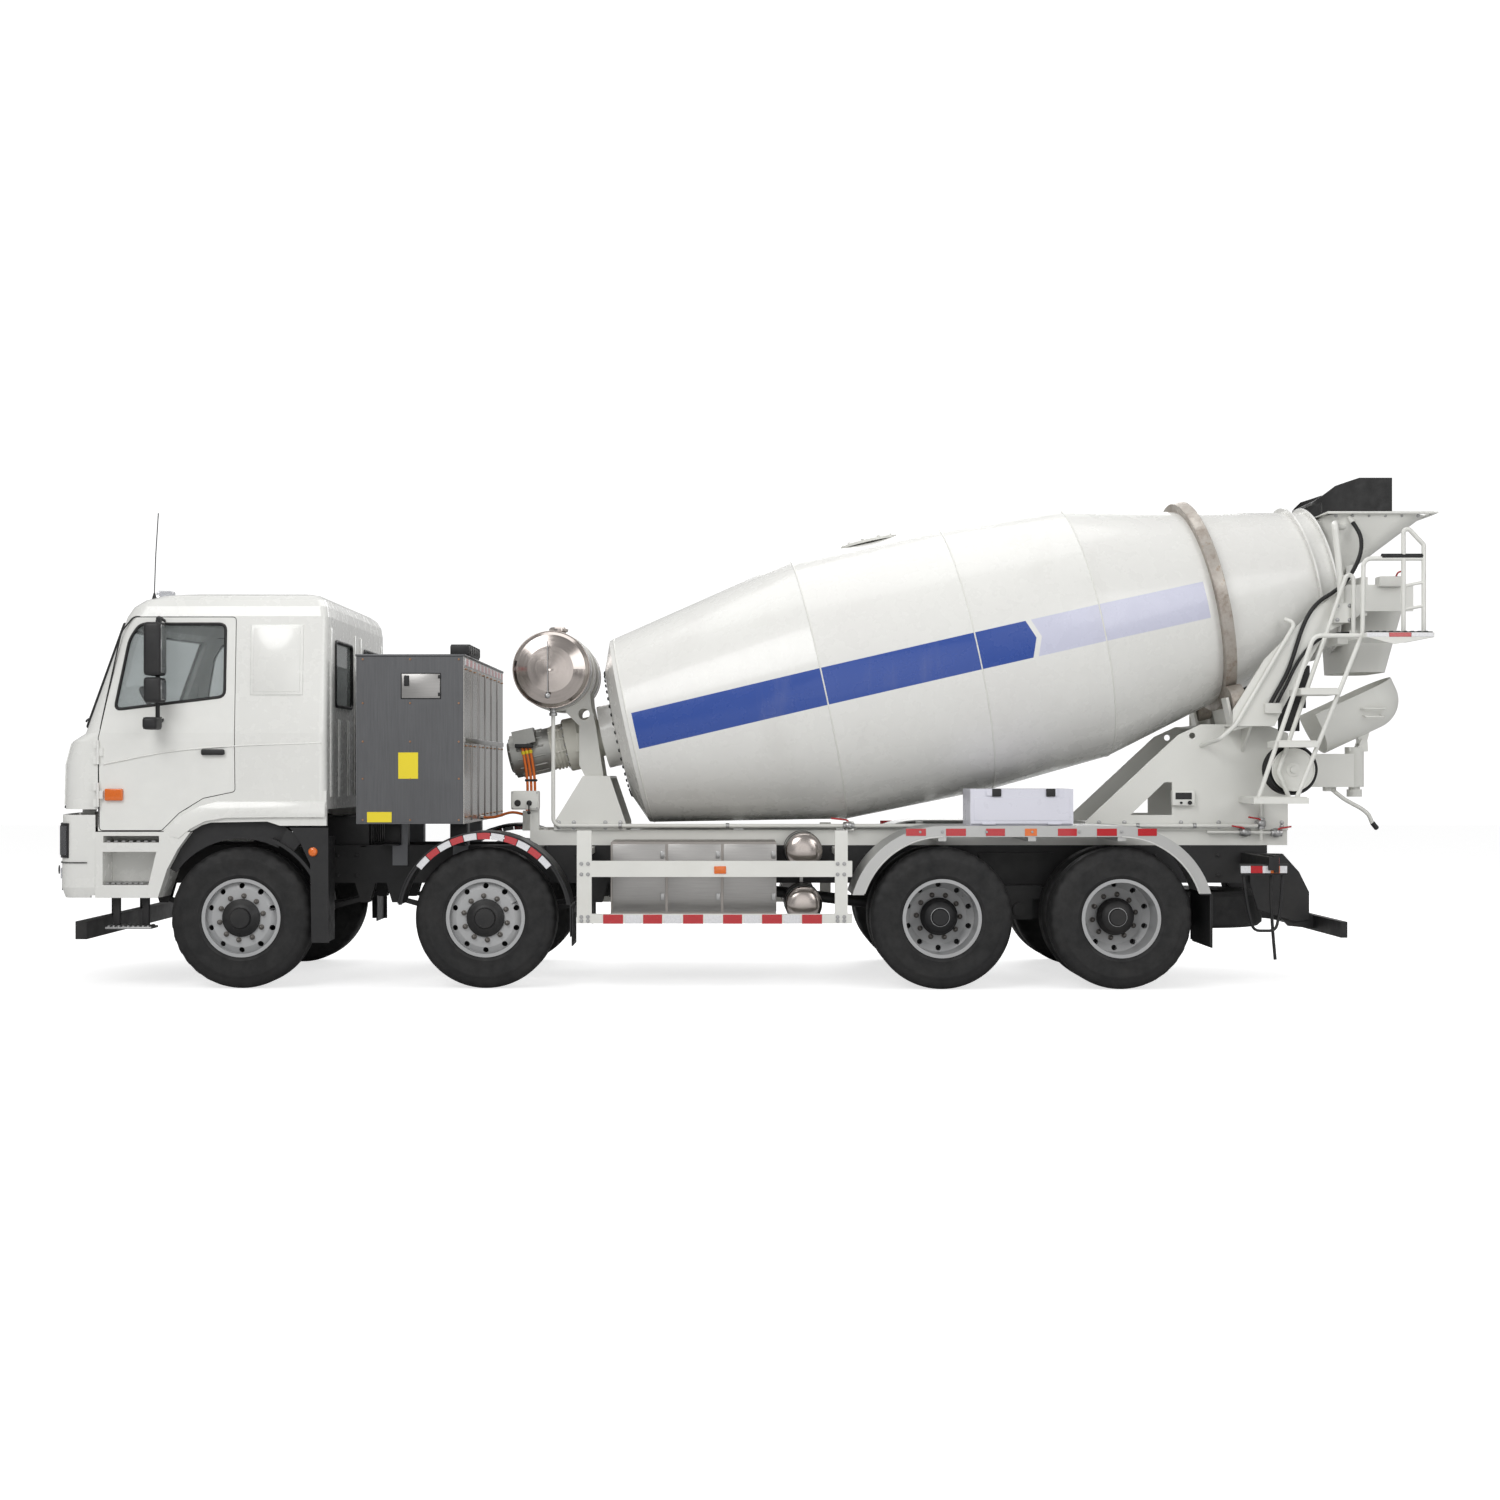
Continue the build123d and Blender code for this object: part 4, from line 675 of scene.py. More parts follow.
def tyreShape():
    half = [(0.288, 0.1185), (0.299, 0.128), (0.318, 0.134), (0.326, 0.1385), (0.333, 0.136),
            (0.39, 0.1435), (0.44, 0.1448), (0.452, 0.1446), (0.456, 0.1425), (0.478, 0.1405),
            (0.503, 0.1345), (0.521, 0.1255), (0.531, 0.112)]
    radius = wheelFacts["tyreRadius"]
    floor = radius - wheelFacts["grooveDepth"]
    wide = wheelFacts["grooveHalf"]
    tread = []
    for number in (-1.5, -0.5, 0.5, 1.5):
        centre = number * wheelFacts["groovePitch"]
        tread += [(radius, centre - wide), (floor, centre - wide * 0.6), (floor, centre + wide * 0.6),
                  (radius, centre + wide)]
    outline = [(r, -y) for r, y in half] + tread + [(r, y) for r, y in reversed(half)]
    outline += [(0.287, 0.1), (0.287, -0.1), half[0][:1] + (-half[0][1],)]
    tyre = turnedBody(outline, wheelFacts["steps"], filled=False)
    # Shoulder lugs: every third station of the shoulder sinks towards the axle
    for vertex in tyre.data.vertices:
        reach = math.hypot(vertex.co.x, vertex.co.y)
        station = round(math.atan2(vertex.co.y, vertex.co.x) / (2 * math.pi / wheelFacts["steps"]))
        if abs(vertex.co.z) > 0.1 and reach > 0.49 and station % wheelFacts["lugEvery"] == 0:
            vertex.co.x *= 1 - 0.011 / reach
            vertex.co.y *= 1 - 0.011 / reach
    return tyre


def makeWheels():
    source = tyreShape()
    nut = turnedBody([(0.021, 0), (0.021, 0.003), (0.0165, 0.004), (0.0165, 0.020), (0.011, 0.024),
                      (0.011, 0.034), (0.008, 0.036)], 12)
    steerCap = [(0.1415, 0.117), (0.1435, 0.121), (0.1435, 0.133), (0.139, 0.137), (0.112, 0.145),
                (0.108, 0.150), (0.082, 0.158), (0.078, 0.172), (0.072, 0.179), (0.02, 0.182)]
    driveCap = [(0.1415, 0.05), (0.1435, 0.062), (0.1435, 0.076), (0.137, 0.082), (0.124, 0.148),
                (0.116, 0.157), (0.068, 0.171), (0.066, 0.181), (0.06, 0.187), (0.02, 0.188)]
    shieldRings = [(0.185, -0.070), (0.272, -0.070), (0.274, -0.066), (0.272, -0.062), (0.185, -0.062),
                   (0.183, -0.066), (0.185, -0.070)]
    rib = softBox((0.075, -0.005, 0.118), (0.139, 0.005, 0.139), 0.002)
    deepRib = softBox((0.09, -0.006, 0.07), (0.134, 0.006, 0.10), 0.002)
    count = wheelFacts["nuts"]
    for number, axle in enumerate(stance["axles"], 1):
        steered = number < 3
        track = wheelFacts["trackSteer"] if steered else wheelFacts["trackDrive"]
        face = wheelFacts["steerFace"] if steered else wheelFacts["driveFace"]
        offsets = (0,) if steered else (-0.5 * wheelFacts["spacing"], 0.5 * wheelFacts["spacing"])
        for sideName, side in sides.items():
            body = f"wheel_body_{number}_{sideName}"
            place = facing((axle, side * track, stance["axleHeight"]), (0, side, 0), 0.2 * number)
            rings = [moved(copyOf(source), place @ Matrix.Translation((0, 0, offset))) for offset in offsets]
            tyre = dress(rings, f"treadTyre{number}{sideName}", "tyreRubber", body)
            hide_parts(f"tyre_{number}_{sideName}")
            turns = [place @ Matrix.Rotation(2 * math.pi * i / count, 4, "Z")
                     @ Matrix.Translation((wheelFacts["nutCircle"], 0, face)) for i in range(count)]
            dress(scatter(copyOf(nut), turns), f"wheelNuts{number}{sideName}", "nutSteel", body)
            cap = turnedBody(steerCap if steered else driveCap, 40)
            ribs = scatter(copyOf(rib if steered else deepRib),
                           [Matrix.Rotation(math.pi * i / 5, 4, "Z") for i in range(10)])
            dress(moved(joinAll([cap, ribs]), place), f"hubCap{number}{sideName}", "chassisBlack", body)
            shield = turnedBody(shieldRings, 48, filled=False)
            dress(moved(shield, place), f"brakeShield{number}{sideName}", "chassisBlack", body)
            stem = ((0.262, 0.02, face - 0.03), (0.25, 0.02, face), (0.232, 0.02, face + 0.035))
            valve = pipe(stem, 0.005, 0.01)
            dress(moved(valve, place), f"tyreValve{number}{sideName}", "bareSteel", body)
    for left in (source, nut, rib, deepRib):
        bpy.data.objects.remove(left, do_unlink=True)


# Cab

cabRows = (  # height, front edge at the sides, bulge of the front, half width
    (1.36, -5.275, 0.14, 1.222), (1.70, -5.262, 0.14, 1.237), (1.87, -5.215, 0.14, 1.245),
    (1.935, -5.11, 0.16, 1.245), (2.82, -4.816, 0.13, 1.185), (2.895, -4.77, 0.125, 1.169),
)
cabFacts = {
    "windscreen": (1.06, 1.99, 2.77),
    "window": ((-4.815, 2.11), (-3.99, 2.21), (-3.99, 2.76), (-4.64, 2.76), (-4.715, 2.64)),
    "door": ((-4.939, 1.197), (-4.464, 1.197), (-4.33, 1.33), (-4.15, 1.44), (-3.908, 1.491),
             (-3.908, 2.816), (-4.69, 2.816), (-4.78, 2.70), (-4.925, 1.96), (-4.939, 1.90)),
    "referenceSide": 1.245,
    "mirrorHeads": ((2.362, 2.749, -4.521, -4.400), (2.160, 2.340, -4.521, -4.400),
                    (1.960, 2.045, -4.530, -4.430)),
    "armSide": 1.33,
}


def cabRow(z):
    z = min(max(z, cabRows[0][0]), cabRows[-1][0])
    for low, high in zip(cabRows, cabRows[1:]):
        if z <= high[0]:
            t = (z - low[0]) / (high[0] - low[0])
            return [a + (b - a) * t for a, b in zip(low, high)]


def cabSide(z):
    return cabRow(z)[3]


def cabFront(y, z):
    _, front, bulge, half = cabRow(z)
    rise = 0.09 + bulge
    radius = (half ** 2 + rise ** 2) / (2 * rise)
    return front - bulge + radius - math.sqrt(radius ** 2 - y ** 2)


def leaned(piece):
    # Follows the lean of the cab's side, from the widest line
    for vertex in piece.data.vertices:
        side = 1 if vertex.co.y > 0 else -1
        vertex.co.y += side * (cabSide(vertex.co.z) - cabFacts["referenceSide"])
    return piece


def sideLoop(outline, side, proud, radius, corner):
    route = [(x, side * (cabSide(z) + proud), z) for x, z in outline]
    return pipe(route, radius, corner, closed=True)


def frontStrip(low, high, start, end, proud, steps=14, depth=0.012):
    # A panel that follows the cab's bowed front
    def placeAt(across, up):
        y = start + across * (end - start)
        z = low + up * (high - low)
        return cabFront(y, z) - proud, y, z

    return sheet(steps, 3, placeAt, thickness=depth, offset=0)


bumperFacts = {"corner": (-5.1309, -1.135), "cornerRadius": 0.11, "sideStart": -5.02, "sideRun": 0.1109,
               "sideEnd": 0.15, "cornerEnd": 0.45, "cornerTurn": math.radians(72), "frontHalf": 1.1689,
               "frontCentre": -1.6245, "frontRadius": 3.7955}


def bumperPoint(t, out=0.0):
    # Walks the bumper's plan from its left side (t 0) round the corner to the middle (t 1)
    cornerX, cornerY = bumperFacts["corner"]
    cornerRadius = bumperFacts["cornerRadius"] + out
    sideEnd, cornerEnd = bumperFacts["sideEnd"], bumperFacts["cornerEnd"]
    if t < sideEnd:
        return (bumperFacts["sideStart"] - bumperFacts["sideRun"] * t / sideEnd, cornerY - cornerRadius)
    if t < cornerEnd:
        turn = (t - sideEnd) / (cornerEnd - sideEnd) * bumperFacts["cornerTurn"]
        return (cornerX - cornerRadius * math.sin(turn), cornerY - cornerRadius * math.cos(turn))
    y = -bumperFacts["frontHalf"] * (1 - (t - cornerEnd) / (1 - cornerEnd))
    radius = bumperFacts["frontRadius"] + out
    return (bumperFacts["frontCentre"] - math.sqrt(radius ** 2 - y ** 2), y)


def bumperStrip(low, high, start, end, proud, depth=0.02, steps=20):
    def placeAt(across, up):
        x, y = bumperPoint(start + across * (end - start), proud)
        return x, y, low + up * (high - low)

    return sheet(steps, 3, placeAt, thickness=depth, offset=0)


def bothSides(parts, name, finish, body="chassis", otherBody=None):
    piece = joinAll(parts) if isinstance(parts, list) else parts
    twin = mirrored(piece)
    dress(piece, name + "Left", finish, body)
    dress(twin, name + "Right", finish, otherBody or body)


def makeCab():
    half, low, high = cabFacts["windscreen"]
    steps = 12
    across = [-half + 2 * half * i / steps for i in range(steps + 1)]
    loop = [(cabFront(y, low) - 0.004, y, low) for y in across]
    loop += [(cabFront(y, high) - 0.004, y, high) for y in reversed(across)]
    dress(pipe(loop, 0.013, 0.03, closed=True), "windscreenSeal", "blackRubber", "cab")
    for number, start in enumerate((-0.98, -0.08)):
        blade = [(cabFront(start + 0.8 * i / 6, 2.03) - 0.03, start + 0.8 * i / 6, 2.03 + 0.012 * i)
                 for i in range(7)]
        arm = [(cabFront(start + 0.7, 1.945) - 0.012, start + 0.7, 1.945),
               (cabFront(start + 0.6, 1.98) - 0.045, start + 0.6, 1.98),
               (cabFront(start + 0.35, 2.05) - 0.04, start + 0.35, 2.05)]
        dress([pipe(blade, 0.008, 0.02), pipe(arm, 0.009, 0.03)], f"wiper{number + 1}", "blackPlastic", "cab")
    dress(frontStrip(1.39, 1.86, -1.0, 1.0, 0.006), "frontPanel", "cabWhite", "cab")
    dress(frontStrip(1.365, 1.385, -1.02, 1.02, 0.004), "frontPanelShadow", "blackPlastic", "cab")
    for number in range(3):
        z = 1.47 + 0.1 * number
        bar = frontStrip(z, z + 0.045, -0.86, 0.86, 0.014, depth=0.014)
        dress(bar, f"grilleBar{number + 1}", "blackPlastic", "cab")
    for sideName, side in sides.items():
        doorBody = f"{sideName}_door"
        dress(sideLoop(cabFacts["window"], side, -0.002, 0.012, 0.05), f"windowSeal{sideName}", "blackRubber",
              doorBody)
        dress(sideLoop(cabFacts["door"], side, -0.006, 0.0055, 0.03), f"doorSeal{sideName}", "blackRubber",
              "cab")
    makeMirrors()
    handle = [softBox((-4.158, -1.275, 1.768), (-3.982, -1.245, 1.812), 0.012, 3),
              softBox((-4.148, -1.262, 1.772), (-4.120, -1.22, 1.808), 0.006),
              softBox((-4.01, -1.262, 1.772), (-3.985, -1.22, 1.808), 0.006)]
    bothSides(handle, "doorHandle", "blackPlastic", "left_door", "right_door")
    crease = pipe([(-3.26, -1.243, 1.86), (-3.9, -1.247, 1.84), (-4.4, -1.247, 1.80), (-4.9, -1.243, 1.70)],
                  0.005, 0.2)
    bothSides(crease, "sideCrease", "cabWhite", "cab")
    panel = leaned(softBox((-3.798, -1.253, 2.221), (-3.400, -1.240, 2.755), 0.006, 3))
    inner = leaned(softBox((-3.775, -1.257, 2.245), (-3.423, -1.240, 2.731), 0.004, 2))
    bothSides([panel, inner], "sideBlankPanel", "cabWhite", "cab")
    marker = softBox((-4.888, -1.259, 1.425), (-4.752, -1.225, 1.515), 0.01, 3)
    marker = moved(marker, Matrix.Translation((0, 0.004, 0)))
    bothSides(marker, "sideMarker", "lampAmber", "left_door", "right_door")
    lamp = softBox((-4.59, -0.95, 2.985), (-4.47, -0.83, 3.035), 0.014, 3)
    bothSides(lamp, "roofLamp", "lampGlass", "cab")
    x, y = -4.58, -1.02
    mast = pipe([(x, y, 2.93), (x, y, 3.02), (x + 0.01, y, 3.3), (x + 0.03, y, 3.62)], 0.004)
    foot = moved(turnedBody([(0.026, -0.03), (0.026, 0), (0.018, 0.012), (0.008, 0.05), (0.005, 0.055)], 20),
                 Matrix.Translation((x, y, 2.955)))
    dress([mast, foot], "antenna", "blackPlastic", "cab")
    rise = ((-4.35, 2.998), (-4.30, 3.006), (-3.45, 3.004), (-3.38, 2.99))
    ribs = [pipe([(x, -0.84 + 0.28 * number, z) for x, z in rise], 0.011, 0.05) for number in range(7)]
    dress(ribs, "roofRibs", "cabWhite", "cab")
    posts = (((-1.05, -0.12, 0.12, 1.05), 0.03, 2.74), ((-0.75, -0.4, 0.4, 0.75), 0.025, 2.05))
    rear = [softBox((-3.232, y - wide, 1.45), (-3.214, y + wide, top), 0.007, 2)
            for spots, wide, top in posts for y in spots]
    dress(rear, "rearWallRibs", "cabWhite", "cab")
    for number, (start, end) in enumerate(((-0.9, -0.25), (0.25, 0.9))):
        frameRoute = [(-3.222, start, 2.15), (-3.222, end, 2.15), (-3.222, end, 2.65), (-3.222, start, 2.65)]
        dress(pipe(frameRoute, 0.013, 0.05, closed=True), f"rearWindowSeal{number + 1}", "blackRubber", "cab")
    makeArchTrim()
    makeBumper()


def makeMirrors():
    side = cabFacts["armSide"]
    for sideName, sign in sides.items():
        shells = [sideBox(sign, (front - 0.004, rear + 0.003), (side - 0.008, side + 0.166),
                          (low - 0.004, high + 0.004), 0.026, 4)
                  for low, high, front, rear in cabFacts["mirrorHeads"]]
        arm = [(-4.46, sign * 1.16, 2.78), (-4.46, sign * (side + 0.01), 2.80),
               (-4.46, sign * (side + 0.01), 2.0), (-4.46, sign * 1.22, 2.04)]
        shells.append(pipe(arm, 0.017, 0.05))
        dress(shells, f"mirror{sideName}", "blackPlastic", f"{sideName}_door")
        faces = [sideBox(sign, (rear + 0.002, rear + 0.006), (side + 0.012, side + 0.142),
                         (low + 0.018, high - 0.018), 0.0015, 1)
                 for low, high, _, rear in cabFacts["mirrorHeads"][:2]]
        dress(faces, f"mirrorGlass{sideName}", "mirrorFace", f"{sideName}_door")


def makeArchTrim():
    outline = [(-4.47, 1.17), (-4.40, 1.245), (-4.30, 1.325), (-4.18, 1.385), (-4.05, 1.42), (-3.23, 1.42)]
    inner = [(-3.23, 1.30), (-3.62, 1.30), (-3.98, 1.295), (-4.13, 1.27), (-4.24, 1.215), (-4.33, 1.14)]

    def placeAt(across, up):
        station = round(across * 5)
        x, z = outline[station] if up > 0.5 else inner[5 - station]
        return x, -1.236 if up > 0.5 else -1.248, z

    lip = sheet(5, 1, placeAt, rounding={"width": 0.005, "segments": 2}, thickness=0.016)
    bothSides(lip, "archTrim", "cabWhite", "cab")


def makeBumper():
    lamp = bumperStrip(1.015, 1.235, 0.24, 0.52, 0.004, 0.022)
    bothSides(lamp, "headlamp", "lampGlass")
    surround = bumperStrip(0.995, 1.255, 0.215, 0.545, -0.002, 0.022)
    bothSides(surround, "headlampSurround", "blackPlastic")
    seam = bumperStrip(0.955, 0.962, 0.0, 1.0, 0.001, 0.012)
    bothSides(seam, "bumperSeam", "blackPlastic")
    lower = bumperStrip(0.735, 0.80, 0.55, 0.93, 0.001, 0.02)
    bothSides(lower, "bumperIntake", "blackPlastic")
    fog = bumperStrip(0.83, 0.905, 0.5, 0.6, 0.003, 0.02)
    bothSides(fog, "fogLamp", "lampGlass")
    hole = moved(turnedBody([(0.033, 0), (0.033, 0.006), (0.022, 0.008), (0.02, 0.002)], 24),
                 facing((-5.346, -0.9, 0.89), (-1, -0.24, 0)))
    bothSides(hole, "towEyeCap", "blackPlastic")
    treads = []
    for low, start, end in ((1.113, -4.895, -4.50), (0.795, -4.90, -4.60), (0.70, -4.93, -4.51)):
        for number in range(7):
            x = start + (end - start) * (number + 0.3) / 7
            treads.append(softBox((x, -1.236, low), (x + 0.03, -1.02, low + 0.012), 0.003, 1))
    bothSides(treads, "stepTreads", "bareSteel")
    step = [softBox((-4.90, -1.20, 0.455), (-4.55, -1.02, 0.472), 0.004)]
    step += [softBox((x, -1.19, 0.470), (x + 0.018, -1.03, 0.482), 0.003, 1)
             for x in (-4.885 + 0.037 * i for i in range(9))]
    bothSides(step, "foldingStep", "bareSteel")
    hangers = [softBox((x, -1.13, 0.46), (x + 0.05, -1.09, 0.715), 0.005) for x in (-4.86, -4.64)]
    bothSides(hangers, "stepHangers", "chassisBlack")


def annulus(centre, inner, outer, start, end, low, high, steps=16):
    def placeAt(across, up):
        turn = math.radians(start + across * (end - start))
        reach = inner + up * (outer - inner)
        return centre[0] - math.cos(turn) * reach, low, centre[1] + math.sin(turn) * reach

    return sheet(steps, 2, placeAt, thickness=high - low)


def makeUnderCab():
    front = (stance["axles"][0], stance["axleHeight"])
    curtain = annulus(front, 0.60, 0.765, 35, 118, -1.165, -1.157)
    bothSides(curtain, "archCurtain", "blackPlastic", "cab")
    gusset = annulus(front, 0.64, 0.765, 118, 129, -1.212, -1.204, 4)
    bothSides(gusset, "guardGusset", "blackPlastic")
    pack = [softBox((-3.42, -0.40, 1.05), (-3.05, 0.40, 1.29), 0.012, 3)]
    pack += [softBox((-3.05, y, 1.07), (-3.035, y + 0.05, 1.27), 0.005)
             for y in (-0.37 + 0.083 * i for i in range(9))]
    pack += [softBox((x, -0.43, 1.04), (x + 0.05, 0.43, 1.06), 0.005) for x in (-3.38, -3.12)]
    dress(pack, "coolingPack", "blackPlastic")


# Cabinet, boxes, guards and fenders

plateFacts = {
    "cabinetFront": -2.996, "cabinetRear": -2.183, "cabinetHalf": 1.235, "cabinetLow": 1.25,
    "cabinetHigh": 2.523, "guardFace": 1.24, "steerFenderRadius": 0.655, "driveBeadRadius": 0.616,
    "boxFace": 1.006, "tankPlace": 0.385, "tankHeights": (0.628, 1.037), "originPixel": 730,
    "originPlace": -0.18, "guardScale": 0.007526, "fenderScale": 0.007521,
    "guardReds": ((603, 623), (643, 662), (683, 703), (723, 742), (762, 782), (802, 822)),
    "guardWhites": ((625, 641), (664, 681), (705, 721), (744, 760), (784, 800)),
    "fenderReds": ((906, 926), (946, 966), (986, 1005), (1058, 1077), (1097, 1117), (1138, 1157)),
    "fenderAmbers": ((1025, 1037),),
}


def tapeMarks(name, spans, scale, y, z, finish):
    # Tape marks along the truck, their ends counted in steps of the side view
    marks = []
    for span in spans:
        x0, x1 = ((step - plateFacts["originPixel"]) * scale + plateFacts["originPlace"] for step in span)
        marks.append(softBox((x0, y[0], z[0]), (x1, y[1], z[1]), 0.001, 1))
    bothSides(marks, name, finish)


def strip(low, high, count, name, pair):
    # A row of tape segments along X, in turns of two finishes
    length = (high[0] - low[0]) / count
    groups = ([], [])
    for number in range(count):
        start = low[0] + number * length
        end = (start + length * 0.99, high[1], high[2])
        groups[number % 2].append(softBox((start, low[1], low[2]), end, 0.0015, 1))
    for number, finish in enumerate(pair):
        dress(groups[number], f"{name}{number + 1}", finish)


def makeCabinet():
    half = plateFacts["cabinetHalf"]
    x0, x1 = plateFacts["cabinetFront"], plateFacts["cabinetRear"]
    z0, z1 = plateFacts["cabinetLow"], plateFacts["cabinetHigh"]
    proud = (half + 0.009, half + 0.020)
    for sideName, side in sides.items():
        panel = sideBox(side, (x0 + 0.006, x1 - 0.006), (half - 0.002, half + 0.004),
                        (z0 + 0.006, z1 - 0.012), 0.002, 1)
        dress(panel, f"cabinetPanel{sideName}", "cabinetSteel")
        plate = sideBox(side, (-2.652, -2.364), (half + 0.003, half + 0.010), (2.198, 2.380), 0.003, 2)
        dress(plate, f"hatchPlate{sideName}", "stainless")
        fittings = [sideBox(side, (-2.660, -2.356), (half + 0.001, half + 0.007), (2.190, 2.388), 0.003, 2),
                    sideBox(side, (-2.634, -2.596), proud, (2.288, 2.368), 0.006, 3)]
        fittings += [sideBox(side, (-2.378, -2.358), proud, (z, z + 0.026), 0.004, 2) for z in (2.212, 2.345)]
        dress(fittings, f"hatchFittings{sideName}", "blackPlastic")
        places = [(x, side * (half + 0.004), z) for x in (x0 + 0.05, (x0 + x1) / 2, x1 - 0.04)
                  for z in (1.28, 1.59, 1.87, 2.16, 2.49)]
        bolts(f"cabinetRivets{sideName}", places, (0, side, 0), 0.005, "copper")
    plates = (((-2.679, -2.529), (1.590, 1.788)), ((-2.914, -2.728), (1.262, 1.340)))
    for number, (x, z) in enumerate(plates):
        plate = sideBox(-1, x, (half + 0.0065, half + 0.003), z, 0.0015, 1)
        dress(plate, f"blankPlate{number + 1}", "plateYellow")
    count = 22
    reds, whites = [], []
    for number in range(count):
        y = -half + 0.012 + number * (2 * half - 0.03) / count
        piece = softBox((x1 + 0.0005, y, z1 - 0.075), (x1 + 0.003, y + 0.1, z1 - 0.022), 0.001, 1)
        (reds if number % 2 else whites).append(piece)
    dress(reds, "cabinetTapeRed", "tapeRed")
    dress(whites, "cabinetTapeWhite", "tapeWhite")
    seams = [softBox((x1 - 0.002, y - 0.022, z0 + 0.02), (x1 + 0.006, y + 0.022, z1 - 0.09), 0.003, 2)
             for y in (-0.82, -0.41, 0.0, 0.41, 0.82)]
    seams.append(softBox((x1 - 0.002, -half + 0.01, 1.862), (x1 + 0.008, half - 0.01, 1.90), 0.003, 2))
    dress(seams, "cabinetRearSeams", "stainless")
    rows = [(x1 + 0.001, -1.15 + 0.255 * i, z) for i in range(10) for z in (1.30, 1.84, 2.42)]
    bolts("cabinetRearRivets", rows, (1, 0, 0), 0.005, "copper")
    lip = softBox((x0 - 0.006, -half - 0.006, z1 - 0.012), (x1 + 0.006, half + 0.006, z1 + 0.006), 0.003, 2)
    dress(lip, "cabinetCap", "cabinetSteel")
    unit = [softBox((-2.335, -0.92, z1 + 0.012), (-2.19, -0.28, z1 + 0.095), 0.012, 3)]
    unit += [softBox((-2.34, y, z1 + 0.03), (-2.185, y + 0.06, z1 + 0.105), 0.008, 2)
             for y in (-0.86 + 0.13 * i for i in range(5))]
    dress(unit, "cabinetTopUnit", "blackPlastic")
    gussets = []
    for x in (-2.92, -2.40):
        gussets += [softBox((x, -0.475, 1.06), (x + 0.13, -0.450, 1.245), 0.004),
                    softBox((x, -0.56, 1.06), (x + 0.13, -0.45, 1.075), 0.004)]
    bothSides(gussets, "cabinetFeet", "chassisBlack")


def makeSideEquipment():
    boxFace = plateFacts["boxFace"]
    tankSpot, tankHeights = plateFacts["tankPlace"], plateFacts["tankHeights"]
    for sideName, side in sides.items():
        doors = [sideBox(side, (start, start + 0.405), (boxFace, boxFace + 0.010), (0.575, 1.09), 0.003, 2)
                 for start in (-1.08, -0.655, -0.23)]
        dress(doors, f"boxDoors{sideName}", "stainless")
        proud = (boxFace + 0.008, boxFace + 0.020)
        latches = [sideBox(side, (x - 0.012, x + 0.018), proud, (z, z + 0.055), 0.004, 2)
                   for x in (-0.70, -0.275, 0.15) for z in (0.66, 0.98)]
        dress(latches, f"boxLatches{sideName}", "bareSteel")
        ring = turnedBody([(0.1415, 0), (0.1445, 0.002), (0.1445, 0.030), (0.1415, 0.032)], 40, filled=False)
        places = [facing((tankSpot, side * y, z), (0, side, 0)) for y in (0.56, 0.88) for z in tankHeights]
        dress(scatter(ring, places), f"tankStraps{sideName}", "blackPlastic")
        end = turnedBody([(0.141, 0), (0.139, 0.012), (0.125, 0.028), (0.09, 0.042), (0.045, 0.050),
                          (0.01, 0.052)], 40)
        places = [facing((tankSpot, side * 0.999, z), (0, side, 0)) for z in tankHeights]
        dress(scatter(end, places), f"tankEnds{sideName}", "tankSteel")
    face = plateFacts["guardFace"]
    scale = plateFacts["guardScale"]
    proud = (-face - 0.003, -face + 0.001)
    tapeMarks("guardTapeRed", plateFacts["guardReds"], scale, proud, (0.498, 0.568), "tapeRed")
    tapeMarks("guardTapeWhite", plateFacts["guardWhites"], scale, proud, (0.502, 0.564), "tapeWhite")
    reflector = softBox((-0.30, -face - 0.010, 0.875), (-0.21, -face + 0.001, 0.932), 0.005, 2)
    bothSides(reflector, "guardReflector", "lampAmber")
    spots = [(x, -face - 0.0005, z) for x in (-1.30, -1.25, 0.63, 0.68) for z in (0.52, 0.55, 0.87, 0.95)]
    near = bolts("guardBolts", spots, (0, -1, 0), 0.010)
    dress(mirrored(near), "guardBoltsFar", "bareSteel")


def arcTape(name, axle, radius, start, end, count, pair, face, width):
    groups = ([], [])
    for number in range(count):
        first, last = (math.radians(start + (end - start) * step / count) for step in (number, number + 0.94))

        def placeAt(across, up):
            turn = first + across * (last - first)
            reach = radius - 0.006 - (1 - up) * width
            return axle - math.cos(turn) * reach, face, stance["axleHeight"] + math.sin(turn) * reach

        groups[number % 2].append(sheet(4, 1, placeAt, thickness=0.004, offset=0))
    for number, finish in enumerate(pair):
        bothSides(groups[number], f"{name}{number + 1}", finish)


